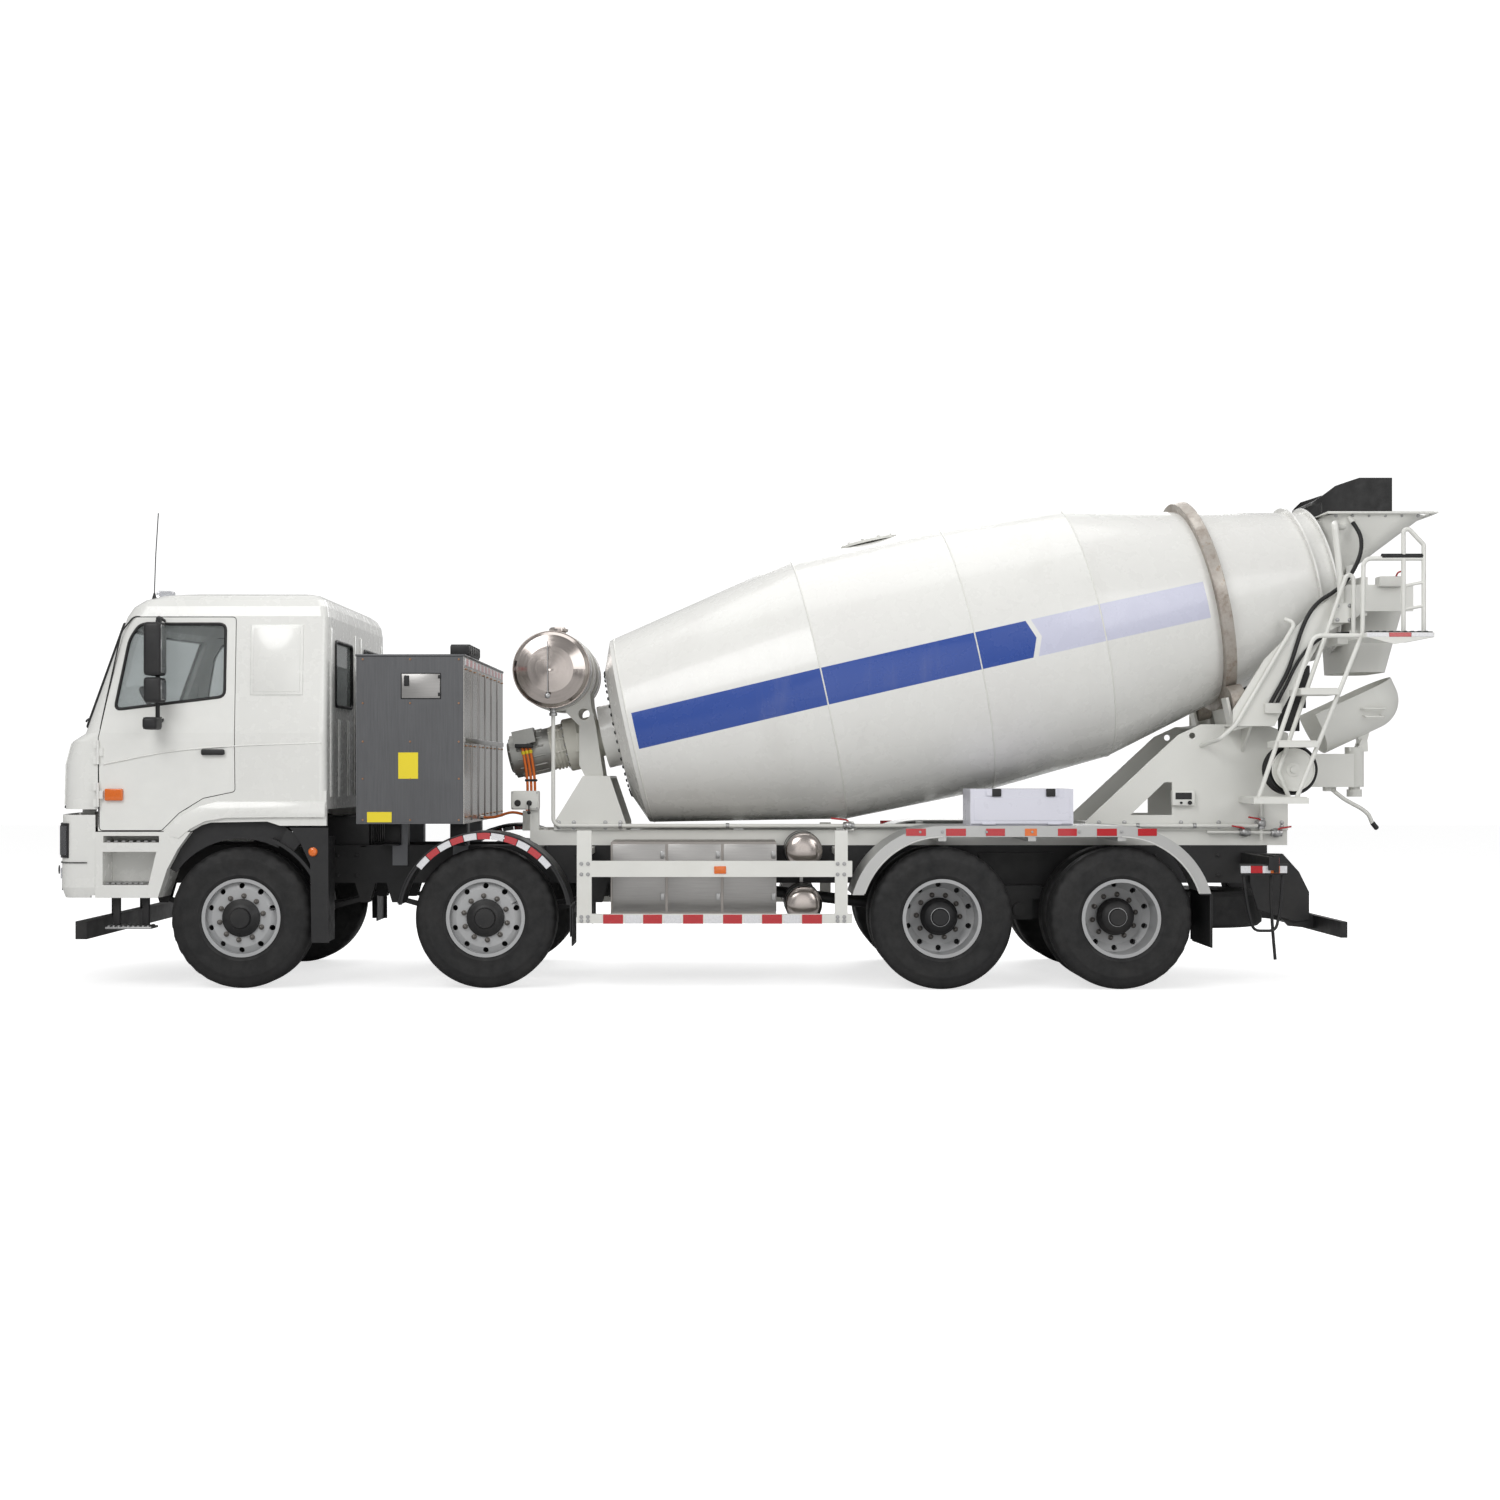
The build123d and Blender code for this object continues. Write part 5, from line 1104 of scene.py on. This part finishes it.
def makeFenders():
    axle = stance["axles"][1]
    height = stance["axleHeight"]
    radius = plateFacts["steerFenderRadius"]
    face = -plateFacts["guardFace"] - 0.0015

    def placeAt(across, up):
        turn = math.radians(10 + across * 160)
        reach = radius + 0.004
        return axle - math.cos(turn) * reach, -1.243 + up * 0.365, height + math.sin(turn) * reach

    skin = sheet(24, 2, placeAt, thickness=0.005)
    edge = pipe([(axle - math.cos(math.radians(a)) * (radius + 0.002), -1.242,
                  height + math.sin(math.radians(a)) * (radius + 0.002)) for a in range(10, 171, 10)],
                0.007, 0.05)
    bothSides([skin, edge], "steerFenderSkin", "blackPlastic")
    arcTape("fenderTape", axle, radius, 38, 142, 11, ("tapeWhite", "tapeRed"), face, 0.05)
    scale, proud, rows = plateFacts["fenderScale"], (-1.2545, -1.2495), (1.16, 1.215)
    for finish, spans in (("tapeRed", plateFacts["fenderReds"]), ("lampAmber", plateFacts["fenderAmbers"])):
        tapeMarks(f"fenderMarks{finish}", spans, scale, proud, rows, finish)
    rims = []
    reach = plateFacts["driveBeadRadius"]
    for end, sign in ((stance["axles"][2], -1), (stance["axles"][3], 1)):
        route = [(end, -1.249, height + reach)]
        for a in range(90, 14, -8):
            turn = math.radians(a)
            route.append((end + sign * math.cos(turn) * reach, -1.249, height + math.sin(turn) * reach))
        rims.append(pipe(route, 0.006, 0.05))
    bothSides(rims, "fenderInnerBead", "fenderSilver")
    flaps = []
    for x, y0, y1, z0, z1 in ((-1.375, -1.23, -0.90, 0.33, 0.62), (3.445, -1.23, -0.63, 0.315, 0.72)):
        flaps.append(softBox((x, y0, z0), (x + 0.012, y1, z1), 0.003, 2))
        for i in range(int((y1 - y0 - 0.04) / 0.05)):
            y = y0 + 0.05 * i
            corner = (x + 0.016, y + 0.045, z1 - 0.05)
            flaps.append(softBox((x + 0.010, y + 0.03, z0 + 0.03), corner, 0.002, 1))
    bothSides(flaps, "mudFlaps", "blackRubber")
    drop = ((3.92, -1.15, 0.94), (3.915, -1.155, 0.70), (3.93, -1.15, 0.45), (3.95, -1.15, 0.22))
    strap = pipe(drop, 0.012, 0.1)
    cuff = softBox((3.895, -1.175, 0.88), (3.945, -1.125, 0.93), 0.008, 2)
    dress([strap, cuff], "earthStrap", "blackRubber")
    amber = turnedAt((-3.32, -1.238, 1.04), (0, -1, 0),
                     [(0.034, 0), (0.034, 0.010), (0.030, 0.014), (0.028, 0.020), (0.010, 0.026)], 28)
    bothSides(amber, "roundMarker", "lampAmber")
    bolts("fenderBolts", [(x, -1.2505, 1.19) for x in (1.25, 1.418, 1.75, 2.093, 2.45, 2.768)],
          (0, -1, 0), 0.009)


# Drum, hopper, chute and the rear end

drumFacts = {"seams": ((0.0, 0.765), (1.531, 1.075), (2.733, 1.093), (3.716, 1.035)), "mouth": (5.69, 0.56),
             "ring": (4.701, 0.86), "ringWall": 0.782}


def onDrum(station, turn, reach):
    foot = stance["drumFoot"] + drumAlong * station
    return foot + (drumUp * math.cos(turn) + Vector((0, 1, 0)) * math.sin(turn)) * reach


def drumHoop(station, reach, radius, steps=72):
    points = [onDrum(station, 2 * math.pi * i / steps, reach) for i in range(steps)]
    return pipe(points, radius, 0.02, closed=True)


def drumWall(station):
    # Radius of the drum's rear cone, and of its mouth past the ring
    ring, wall = drumFacts["ring"][0], drumFacts["ringWall"]
    start, wide = drumFacts["seams"][-1]
    end, narrow = drumFacts["mouth"]
    if station < ring:
        return wide - (station - start) / (ring - start) * (wide - wall)
    return wall - (station - ring) / (end - ring) * (wall - narrow)


def makeDrum():
    hoops = [drumHoop(station, reach - 0.002, 0.0065) for station, reach in drumFacts["seams"]]
    dress(hoops, "drumSeams", "mixerWhite", "drum")
    blades = []
    for start in (0, math.pi):
        def placeAt(across, up):
            station = 3.6 + 2.0 * across
            reach = min(drumWall(station), drumFacts["seams"][-1][1]) - 0.008 - up * 0.22
            return onDrum(station, start + across * 1.35 * math.pi, reach)

        blades.append(sheet(60, 2, placeAt, thickness=0.008))
    dress(blades, "mixingBlades", "ringSteel", "drum")
    mouth, mouthRadius = drumFacts["mouth"]
    dress(drumHoop(mouth - 0.003, mouthRadius - 0.002, 0.010), "mouthRim", "mixerWhite", "drum")
    ring, ringRadius = drumFacts["ring"]
    edges = [drumHoop(ring + shift, ringRadius - 0.004, 0.006) for shift in (-0.04, 0.04)]
    dress(edges, "ringEdges", "ringSteel", "drum")
    studs = [facing(onDrum(-0.128, 2 * math.pi * i / 44, 0.512), -drumAlong) for i in range(44)]
    dress(scatter(boltHead(0.012), studs), "drumFrontBolts", "chassisBlack", "drum")
    centre = onDrum(2.2, 0.0, 1.086)
    hatch = [turnedAt(centre, drumUp, [(0.235, -0.01), (0.235, 0.010), (0.225, 0.014), (0.19, 0.014),
                                       (0.185, 0.010), (0.02, 0.012)], 36)]
    for i in range(10):
        turn = i * math.pi / 5
        spot = centre + (drumAlong * math.cos(turn) + Vector((0, 1, 0)) * math.sin(turn)) * 0.21
        hatch.append(moved(boltHead(0.011), facing(spot + drumUp * 0.012, drumUp)))
    dress(hatch, "drumHatch", "mixerWhite", "drum")


def makeDrive():
    back = -drumAlong
    rings = [facing(onDrum(station, 2 * math.pi * i / count, reach), back)
             for station, reach, count in ((-0.45, 0.20, 16), (-0.56, 0.2, 16), (-0.69, 0.158, 12))
             for i in range(count)]
    dress(scatter(boltHead(0.010), rings), "reducerBolts", "bareSteel")

    def rib(start, end, turn, reach, endReach, radius):
        low, high = onDrum(start, turn, reach), onDrum(end, turn, endReach)
        return pipe([low, (low + high) / 2, high], radius, 0.02)

    ribs = [rib(-0.96, -0.74, 2 * math.pi * i / 14, 0.174, 0.174, 0.008) for i in range(14)]
    bell = turnedAt(onDrum(-1.008, 0, 0), back, [(0.150, 0), (0.150, 0.012), (0.132, 0.020), (0.12, 0.034),
                                                 (0.06, 0.040), (0.02, 0.040)], 40)
    dress(ribs + [bell], "motorRibs", "motorGrey")
    spots = [facing(onDrum(-1.018, 2 * math.pi * i / 10, 0.141), back) for i in range(10)]
    dress(scatter(boltHead(0.008), spots), "motorBolts", "bareSteel")
    casing = [rib(-0.685, -0.565, turn - 0.9, 0.168, 0.178, 0.010)
              for turn in (-0.9, -0.35, 0.2, 0.75, 1.3, 1.85)]
    dress(casing, "reducerRibs", "reducerCream")
    clamp = softBox((-1.915, -0.232, 1.835), (-1.765, -0.214, 1.868), 0.007, 3)
    lower = softBox((-1.835, -0.219, 1.565), (-1.735, -0.181, 1.585), 0.007, 3)
    dress([clamp, lower], "cableClamps", "blackPlastic")
    collarRings = [(0.0115, 0), (0.0145, 0.002), (0.0145, 0.026), (0.0115, 0.028)]
    down = (0.2, 0, -0.97)
    collars = [turnedAt((-1.822 + shift, -0.2005, 1.815 + shift * 0.2), down, collarRings, 20, False)
               for shift in (-0.03, 0, 0.03)]
    dress(collars, "cableCollars", "plateYellow")


def makeTank():
    x, z = -1.581, 2.445
    bandRings = [(0.3005, -0.024), (0.3045, -0.022), (0.3045, 0.022), (0.3005, 0.024)]
    bands = [turnedAt((x, y, z), (0, 1, 0), bandRings, 64, False) for y in (-0.45, 0.45)]
    dress(bands, "tankBands", "bareSteel")
    seams = [pipe([(x + across, y, z + up) for across, up in circle(48, 0.3)], 0.004, 0.01, closed=True)
             for y in (-0.655, 0.655)]
    dress(seams, "tankSeams", "tankSteel")
    sight = pipe([(-1.60, -0.757, 2.66), (-1.60, -0.763, 2.45), (-1.60, -0.758, 2.26)], 0.004, 0.03)
    cock = turnedAt((-1.60, -0.745, 2.235), (0, -1, 0),
                    [(0.016, 0), (0.022, 0.004), (0.022, 0.020), (0.015, 0.028), (0.006, 0.03)], 20)
    dress([sight, cock], "tankSight", "bareSteel")
    coupling = moved(turnedBody([(0.020, 0), (0.032, 0.003), (0.032, 0.022), (0.026, 0.026), (0.026, 0.052),
                                 (0.032, 0.056), (0.032, 0.075), (0.018, 0.078)], 24),
                     Matrix.Translation((x, -0.48, 2.085)))
    dress(coupling, "tankCoupling", "bareSteel")
    cap = moved(turnedBody([(0.072, 0), (0.078, 0.006), (0.078, 0.024), (0.066, 0.036), (0.02, 0.040)], 28),
                Matrix.Translation((x, 0, 2.785)))
    dress(cap, "tankCap", "tankSteel")
    clipRings = [(0.0165, -0.014), (0.0215, -0.012), (0.0215, 0.012), (0.0165, 0.014)]
    clips = [turnedAt((place, -0.48, 1.216), (1, 0, 0), clipRings, 20, False)
             for place in (-1.05, -0.2, 0.77, 1.5, 2.4, 3.05, 3.5)]
    dress(clips, "pipeClips", "bareSteel")


def makeControls():
    face = -0.471
    dialX, switchX, height = -1.864, -1.772, 1.395
    out = (0, -1, 0)
    dial = turnedAt((dialX, face, height), out,
                    [(0.026, 0), (0.026, 0.008), (0.022, 0.011), (0.021, 0.006), (0.004, 0.007)], 28)
    switch = turnedAt((switchX, face, height), out,
                      [(0.022, 0), (0.022, 0.006), (0.016, 0.010), (0.015, 0.022), (0.008, 0.026)], 28)
    bend = ((switchX, face - 0.022, height), (switchX, face - 0.035, 1.372), (switchX, face - 0.03, 1.33))
    lever = pipe(bend, 0.006, 0.01)
    grip = turnedAt((switchX, face - 0.03, 1.335), (0, 0, -1),
                    [(0.006, 0), (0.013, 0.004), (0.015, 0.014), (0.011, 0.025), (0.004, 0.028)], 20)
    dress([dial, switch, lever, grip], "controlSwitches", "blackPlastic")
    lid = softBox((-1.912, face - 0.005, 1.348), (-1.702, face + 0.004, 1.486), 0.006, 3)
    dress(lid, "controlLid", "mixerWhite")
    bolts("controlScrews", [(x, face - 0.0045, z) for x in (-1.903, -1.711) for z in (1.357, 1.477)],
          out, 0.004)


def makeRearEnd():
    spots = [(x, -0.8085, z) for x in (4.53, 4.625) for z in (2.82, 2.93)]
    boltsBothSides(("stayBolts", "stayBoltsFar"), spots, (0, -1, 0), 0.011)
    edge = [(4.545, -0.52, 3.692), (5.38, -0.52, 3.692), (5.40, -0.48, 3.692), (5.40, 0.48, 3.692),
            (5.38, 0.52, 3.692), (4.545, 0.52, 3.692)]
    dress(pipe(edge, 0.011, 0.06), "hopperRolledEdge", "mixerWhite")
    row = [(4.62 + 0.13 * i, -0.4865, 3.672) for i in range(6)]
    boltsBothSides(("hopperBolts", "hopperBoltsFar"), row, (0, -1, -0.36), 0.010)
    treads = []
    for x0, x1, z in ((3.80, 4.22, 1.40), (3.99, 4.29, 1.83), (4.16, 4.45, 2.23)):
        for i in range(6):
            y = -1.10 + 0.052 * i
            treads.append(softBox((x0 + 0.01, y, z + 0.044), (x1 - 0.01, y + 0.022, z + 0.052), 0.003, 1))
    dress(treads, "ladderTreadGrips", "mixerWhite")
    mat = [softBox((4.655, -1.14, 2.700), (5.15, -0.53, 2.708), 0.003, 2)]
    mat += [softBox((x, -1.13, 2.707), (x + 0.025, -0.54, 2.713), 0.002, 1)
            for x in (4.67 + 0.053 * i for i in range(9))]
    dress(mat, "deckMat", "blackPlastic")
    strip((4.645, -1.1535, 2.666), (5.152, -1.1495, 2.698), 3, "deckTape", ("tapeWhite", "tapeRed"))
    steps = ((4.10, 4.27, 1.96, 2.144), (4.12, 4.32, 2.14, 2.314), (4.15, 4.35, 2.31, 2.474))
    panels = [softBox((x0, -0.698, z0), (x1, -0.690, z1), 0.003, 2) for x0, x1, z0, z1 in steps]
    bothSides(panels, "rubberSideSheet", "blackRubber")
    bars = (((4.90, -0.236, 2.150), (4.90, -0.278, 2.150), (5.085, -0.278, 2.150), (5.085, -0.216, 2.150)),
            ((4.92, -0.238, 2.095), (4.92, -0.276, 2.085), (5.07, -0.270, 2.085), (5.07, -0.205, 2.095)))
    dress([pipe(route, 0.008, 0.02) for route in bars], "chuteHandle", "mixerWhite", "main_chute")
    lock = [pipe([(4.70, -0.06, 1.53), (4.72, -0.10, 1.49), (4.80, -0.13, 1.42), (4.93, -0.16, 1.345),
                  (4.985, -0.165, 1.30), (5.015, -0.165, 1.225)], 0.017, 0.03),
            softBox((4.655, -0.10, 1.485), (4.745, -0.02, 1.53), 0.006)]
    dress(lock, "chuteLock", "mixerWhite")
    grip = turnedAt((5.012, -0.165, 1.235), (0.62, 0, -0.78),
                    [(0.012, 0), (0.020, 0.006), (0.020, 0.062), (0.013, 0.070)], 20)
    dress(grip, "chuteLockGrip", "blackPlastic")
    dress(softBox((3.32, -0.500, 1.375), (3.50, -0.450, 1.495), 0.006, 3), "switchBox", "mixerWhite")
    out = (0, -1, 0)
    switches = [softBox((3.345, -0.504, 1.425), (3.475, -0.498, 1.478), 0.002, 1),
                turnedAt((3.458, -0.500, 1.398), out, [(0.016, 0), (0.016, 0.012), (0.009, 0.020)], 20),
                turnedAt((3.39, -0.500, 1.398), out, [(0.010, 0), (0.010, 0.010), (0.006, 0.014)], 16)]
    dress(switches, "switchBoxPanel", "blackPlastic")
    padding = pipe([(4.79, -1.05, 3.287), (4.95, -1.05, 3.287), (5.10, -1.05, 3.287)], 0.021, 0.02)
    dress(padding, "railPadding", "blackRubber")
    box = softBox((4.87, -0.775, 3.082), (5.05, -0.655, 3.165), 0.010, 3)
    dress(box, "rearControlBox", "mixerWhite")
    levers = [((5.0, -0.76, 3.16), (5.0, -0.80, 3.19), (5.02, -0.84, 3.195))]
    levers += [((x, -0.485, z), (x + 0.02 * turn, -0.505, z + 0.015), (x + 0.11 * turn, -0.508, z + 0.03))
               for x, z, turn in ((3.90, 1.185, -1), (4.03, 1.255, -1), (4.15, 1.18, 1))]
    levers.append(((0.76, -0.49, 1.245), (0.745, -0.50, 1.262), (0.62, -0.50, 1.275)))
    dress([pipe(route, 0.007, 0.02) for route in levers], "valveLevers", "tapeRed")
    ball = turnedBody([(0.020, -0.045), (0.030, -0.042), (0.030, -0.025), (0.036, -0.018), (0.038, 0.0),
                       (0.036, 0.018), (0.030, 0.025), (0.030, 0.042), (0.020, 0.045)], 24)
    along, up = (1, 0, 0), (0, 0, 1)
    places = (((0.76, -0.48, 1.216), along), ((3.90, -0.475, 1.165), along), ((4.03, -0.475, 1.235), up),
              ((4.15, -0.475, 1.16), along))
    valves = scatter(ball, [facing(place, direction) for place, direction in places])
    dress(valves, "ballValves", "bareSteel")
    lines = [pipe([(3.60, -0.475, 1.165), (3.90, -0.475, 1.165), (4.20, -0.475, 1.16)], 0.013, 0.02),
             pipe([(4.03, -0.475, 1.10), (4.03, -0.475, 1.25), (4.03, -0.475, 1.42)], 0.013, 0.02)]
    dress(lines, "valvePipes", "mixerWhite")
    band = softBox((3.665, -1.204, 0.862), (4.035, -1.192, 0.948), 0.003, 2)
    bothSides(band, "lampArm", "chassisBlack")
    segments = (("tapeWhite", 3.675, 3.75), ("tapeRed", 3.75, 3.84), ("tapeWhite", 3.84, 3.90),
                ("lampAmber", 3.90, 3.97), ("tapeWhite", 3.97, 4.025))
    for number, (finish, start, end) in enumerate(segments):
        piece = softBox((start, -1.2065, 0.878), (end, -1.2035, 0.932), 0.001, 1)
        bothSides(piece, f"lampArmTape{number + 1}", finish)
    hoop = pipe([(3.70, -1.17, 0.87), (3.735, -1.17, 0.62), (3.78, -1.17, 0.44), (3.95, -1.17, 0.44),
                 (3.985, -1.17, 0.62), (4.0, -1.17, 0.87)], 0.011, 0.05)
    bothSides(hoop, "lampGuardHoop", "chassisBlack")
    lamps = [softBox((3.958, -y - 0.09, 0.89), (3.972, -y, 1.0), 0.005, 2) for y in (0.88, 0.99, 1.10)]
    bothSides(lamps[0], "tailLampInner", "lampAmber")
    bothSides(lamps[1:], "tailLampOuter", "lampRed")
    outline = ((3.94, 1.00), (4.20, 0.995), (4.33, 0.85), (4.41, 0.69), (4.41, 0.47), (4.30, 0.455),
               (4.0, 0.55), (3.94, 0.75))
    mesh = bpy.data.meshes.new("bumperCheek")
    mesh.from_pydata([(x, -0.470, z) for x, z in outline], [], [tuple(range(len(outline)))])
    cheek = bpy.data.objects.new("bumperCheek", mesh)
    bpy.context.scene.collection.objects.link(cheek)
    applied(cheek, "SOLIDIFY", thickness=0.012)
    applied(cheek, "BEVEL", width=0.003)
    editAll(cheek)
    leaveEdit()
    bothSides(cheek, "bumperCheek", "chassisBlack")
    plate = softBox((4.497, -0.26, 0.405), (4.502, 0.26, 0.49), 0.003, 2)
    dress(plate, "blankNumberPlate", "tapeWhite")
    rearTapes = {"tapeRed": [], "tapeWhite": []}
    for i in range(14):
        y = -1.14 + 0.163 * i
        if abs(y + 0.08) < 0.36:
            continue
        finish = "tapeRed" if i % 2 else "tapeWhite"
        rearTapes[finish].append(softBox((4.4975, y, 0.42), (4.5005, y + 0.16, 0.475), 0.001, 1))
    for finish, parts in rearTapes.items():
        dress(parts, f"rearBar{finish}", finish)
    latches = [softBox((x, -1.192, 1.455), (x + 0.07, -1.174, 1.515), 0.007, 3) for x in (1.80, 2.21)]
    dress(latches, "boxLidLatches", "blackPlastic", "box_lid")
    panel = softBox((1.665, -1.1785, 1.275), (2.39, -1.1745, 1.45), 0.002, 1)
    dress(panel, "boxLidPanel", "boxPlastic", "box_lid")
    frameBolts = [(x, -0.4305, z) for x in (-4.6, -4.45, -3.3, -3.15, -1.4, -0.6, 0.9, 3.2, 3.7)
                  for z in (0.82, 0.98)]
    boltsBothSides(("frameBoltsLeft", "frameBoltsRight"), frameBolts, out, 0.014, "chassisBlack")
    plateBolts = [(x, -0.4505, z) for x in (2.75, 2.95, 3.4, 3.7, 4.0, 4.2) for z in (1.21, 1.24)]
    plateBolts += [(x, -0.4505, z) for x in (-1.54, -1.42, -1.17, -1.05) for z in (1.20, 1.24)]
    boltsBothSides(("pedestalBoltsLeft", "pedestalBoltsRight"), plateBolts, out, 0.012)


# Cords and hoses

cordRoutes = {
    "motorCable": ((-1.830, -0.200, 1.852), (-1.813, -0.201, 1.771), (-1.798, -0.205, 1.684),
                   (-1.787, -0.204, 1.596), (-1.783, -0.200, 1.508), (-1.787, -0.197, 1.419),
                   (-1.790, -0.196, 1.330)),
    "feedCable": ((-1.850, -0.200, 1.300), (-1.905, -0.202, 1.317), (-1.965, -0.205, 1.315),
                  (-2.030, -0.207, 1.291), (-2.100, -0.205, 1.272), (-2.168, -0.204, 1.276)),
    "wingHose": ((4.749, -0.500, 3.615), (4.782, -0.545, 3.544), (4.788, -0.595, 3.459),
                 (4.766, -0.645, 3.363), (4.719, -0.690, 3.268), (4.659, -0.722, 3.174),
                 (4.588, -0.739, 3.094), (4.509, -0.741, 3.034), (4.431, -0.741, 2.989),
                 (4.365, -0.742, 2.927), (4.311, -0.742, 2.843), (4.269, -0.741, 2.741),
                 (4.236, -0.741, 2.640), (4.204, -0.741, 2.532), (4.164, -0.741, 2.424),
                 (4.114, -0.741, 2.328), (4.066, -0.741, 2.244), (4.024, -0.741, 2.166)),
    "deckHose": ((4.640, -0.741, 2.722), (4.575, -0.741, 2.720), (4.505, -0.741, 2.710),
                 (4.435, -0.741, 2.693), (4.378, -0.741, 2.655), (4.318, -0.741, 2.603),
                 (4.267, -0.741, 2.538), (4.224, -0.741, 2.466), (4.186, -0.741, 2.388),
                 (4.150, -0.741, 2.311), (4.104, -0.741, 2.226), (4.072, -0.741, 2.160)),
}


def cordCurve(name, route, diameter, finish, node):
    curve = bpy.data.curves.new(name, "CURVE")
    curve.dimensions = "3D"
    spline = curve.splines.new("NURBS")
    spline.points.add(len(route) - 1)
    for place, point in zip(spline.points, route):
        place.co = (*point, 1)
    spline.order_u = 3
    spline.use_endpoint_u = True
    curve.resolution_u = 8
    curve.bevel_depth = diameter / 2
    curve.bevel_resolution = 4
    curve.use_fill_caps = True
    cord = bpy.data.objects.new(name, curve)
    bpy.context.scene.collection.objects.link(cord)
    curve.materials.append(finishes[finish])
    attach(cord, "chassis")
    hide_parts(node)
    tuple(route[0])
    return cord


def makeCords():
    cableDiameter = 0.022
    lean = stance["drumTilt"]
    for number, shift in enumerate((-0.03, 0.0, 0.03)):
        x, y, z = cordRoutes["motorCable"][0]
        route = [(x + shift * math.cos(lean), y, z + shift * math.sin(lean))]
        route += [(x + shift, y, z) for x, y, z in cordRoutes["motorCable"][1:]]
        cordCurve(f"motorCable{number + 1}", route, cableDiameter, "orange", "motor_cables")
    cordCurve("feedCable", cordRoutes["feedCable"], cableDiameter, "orange", "motor_cables")
    cordCurve("wingHose", cordRoutes["wingHose"], 0.032, "blackRubber", "wing_hoses")
    cordCurve("deckHose", cordRoutes["deckHose"], 0.026, "blackRubber", "wing_hoses")


def makeCoil():
    x, z = 4.189, 1.66
    turns = []
    for layer in range(3):
        for row in range(6):
            y = -0.7755 + row * 0.0265 + (0.008 if layer % 2 else 0)
            ring = [(x + across, y + 0.004 * math.sin(i * 0.7), z + up)
                    for i, (across, up) in enumerate(circle(40, 0.1865 - layer * 0.0235))]
            turns.append(pipe(ring, 0.0125, 0.01, closed=True))
    coil = dress(turns, "hoseCoil", "blackRubber")
    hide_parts("water_hoses")
    rims = [pipe([(x + across, y, z + up) for across, up in circle(40, 0.163)], 0.006, 0.01, closed=True)
            for y in (-0.8065, -0.6035)]
    hub = turnedAt((x, -0.805, z), (0, -1, 0),
                   [(0.055, 0), (0.055, 0.006), (0.03, 0.010), (0.028, 0.022), (0.01, 0.026)], 28)
    dress(rims + [hub], "reelRims", "mixerWhite")


# Seats

seatFacts = {"places": (-0.52, 0.52), "half": 0.25}


def cushion(low, high, crown):
    deselectAll()
    middle = [(a + b) / 2 for a, b in zip(low, high)]
    bpy.ops.mesh.primitive_cube_add(size=1, location=middle)
    pad = bpy.context.object
    pad.scale = [b - a for a, b in zip(low, high)]
    bakePlace(pad)
    editAll(pad)
    bpy.ops.mesh.subdivide(number_cuts=7)
    leaveEdit()
    spans = [b - a for a, b in zip(low, high)]
    thin = spans.index(min(spans))
    wide = [i for i in range(3) if i != thin]
    for vertex in pad.data.vertices:
        place = [(vertex.co[i] - middle[i]) / (spans[i] / 2) for i in range(3)]
        dome = (1 - place[wide[0]] ** 4) * (1 - place[wide[1]] ** 4)
        seam = 0.006 if abs(abs(place[wide[0]]) - 0.5) < 0.03 else 0.0
        vertex.co[thin] -= (1 if place[thin] > 0 else -1) * crown * (1 - dome) + seam * place[thin]
        for i in wide:
            other = wide[1] if i == wide[0] else wide[0]
            pull = 0.05 * (1 - abs(place[thin])) + 0.02 * (1 - place[other] ** 2)
            vertex.co[i] -= place[i] ** 3 * spans[i] / 2 * (0.05 - pull * 0.4)
    applied(pad, "SUBSURF", levels=1)
    return pad


def makeSeats():
    lean = Matrix.Rotation(math.radians(14), 4, "Y")
    for number, y in enumerate(seatFacts["places"]):
        half = seatFacts["half"] - 0.004
        seat = cushion((-4.415, y - half, 1.74), (-3.925, y + half, 1.895), 0.03)
        back = cushion((-0.06, y - half + 0.015, 0), (0.06, y + half - 0.015, 0.66), 0.03)
        back.data.transform(Matrix.Translation((-3.955, 0, 1.895)) @ lean)
        rest = cushion((-0.045, y - 0.14, 0), (0.045, y + 0.14, 0.17), 0.02)
        rest.data.transform(Matrix.Translation((-3.80, 0, 2.52)) @ lean)
        for piece, label in ((seat, "seatPad"), (back, "seatBack"), (rest, "headRest")):
            dress(piece, f"{label}{number + 1}", "seatCloth", "cab", 60)
            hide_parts("cab_seats")
        bellows = [softBox((-4.38, y - 0.2, 1.402), (-3.96, y + 0.2, 1.745), 0.02, 3)]
        bellows += [softBox((-4.39, y - 0.21, z), (-3.95, y + 0.21, z + 0.028), 0.010, 2)
                    for z in (1.44 + 0.055 * i for i in range(5))]
        foot = dress(bellows, f"seatFrame{number + 1}", "darkTrim", "cab")
        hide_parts("cab_seats")


makeStudio()
finishes = makeFinishes()
makeCords()
dressNodes()
print("studio, cords and CAD finishes ready")
makeWheels()
print("wheels ready")
makeCab()
print("cab ready")
makeUnderCab()
makeCabinet()
makeSideEquipment()
makeFenders()
print("boxes, guards and fenders ready")
makeDrum()
makeDrive()
makeTank()
makeControls()
makeRearEnd()
print("mixer ready")
makeCoil()
makeSeats()
print("hose reel and seats ready")

print("scene ready")
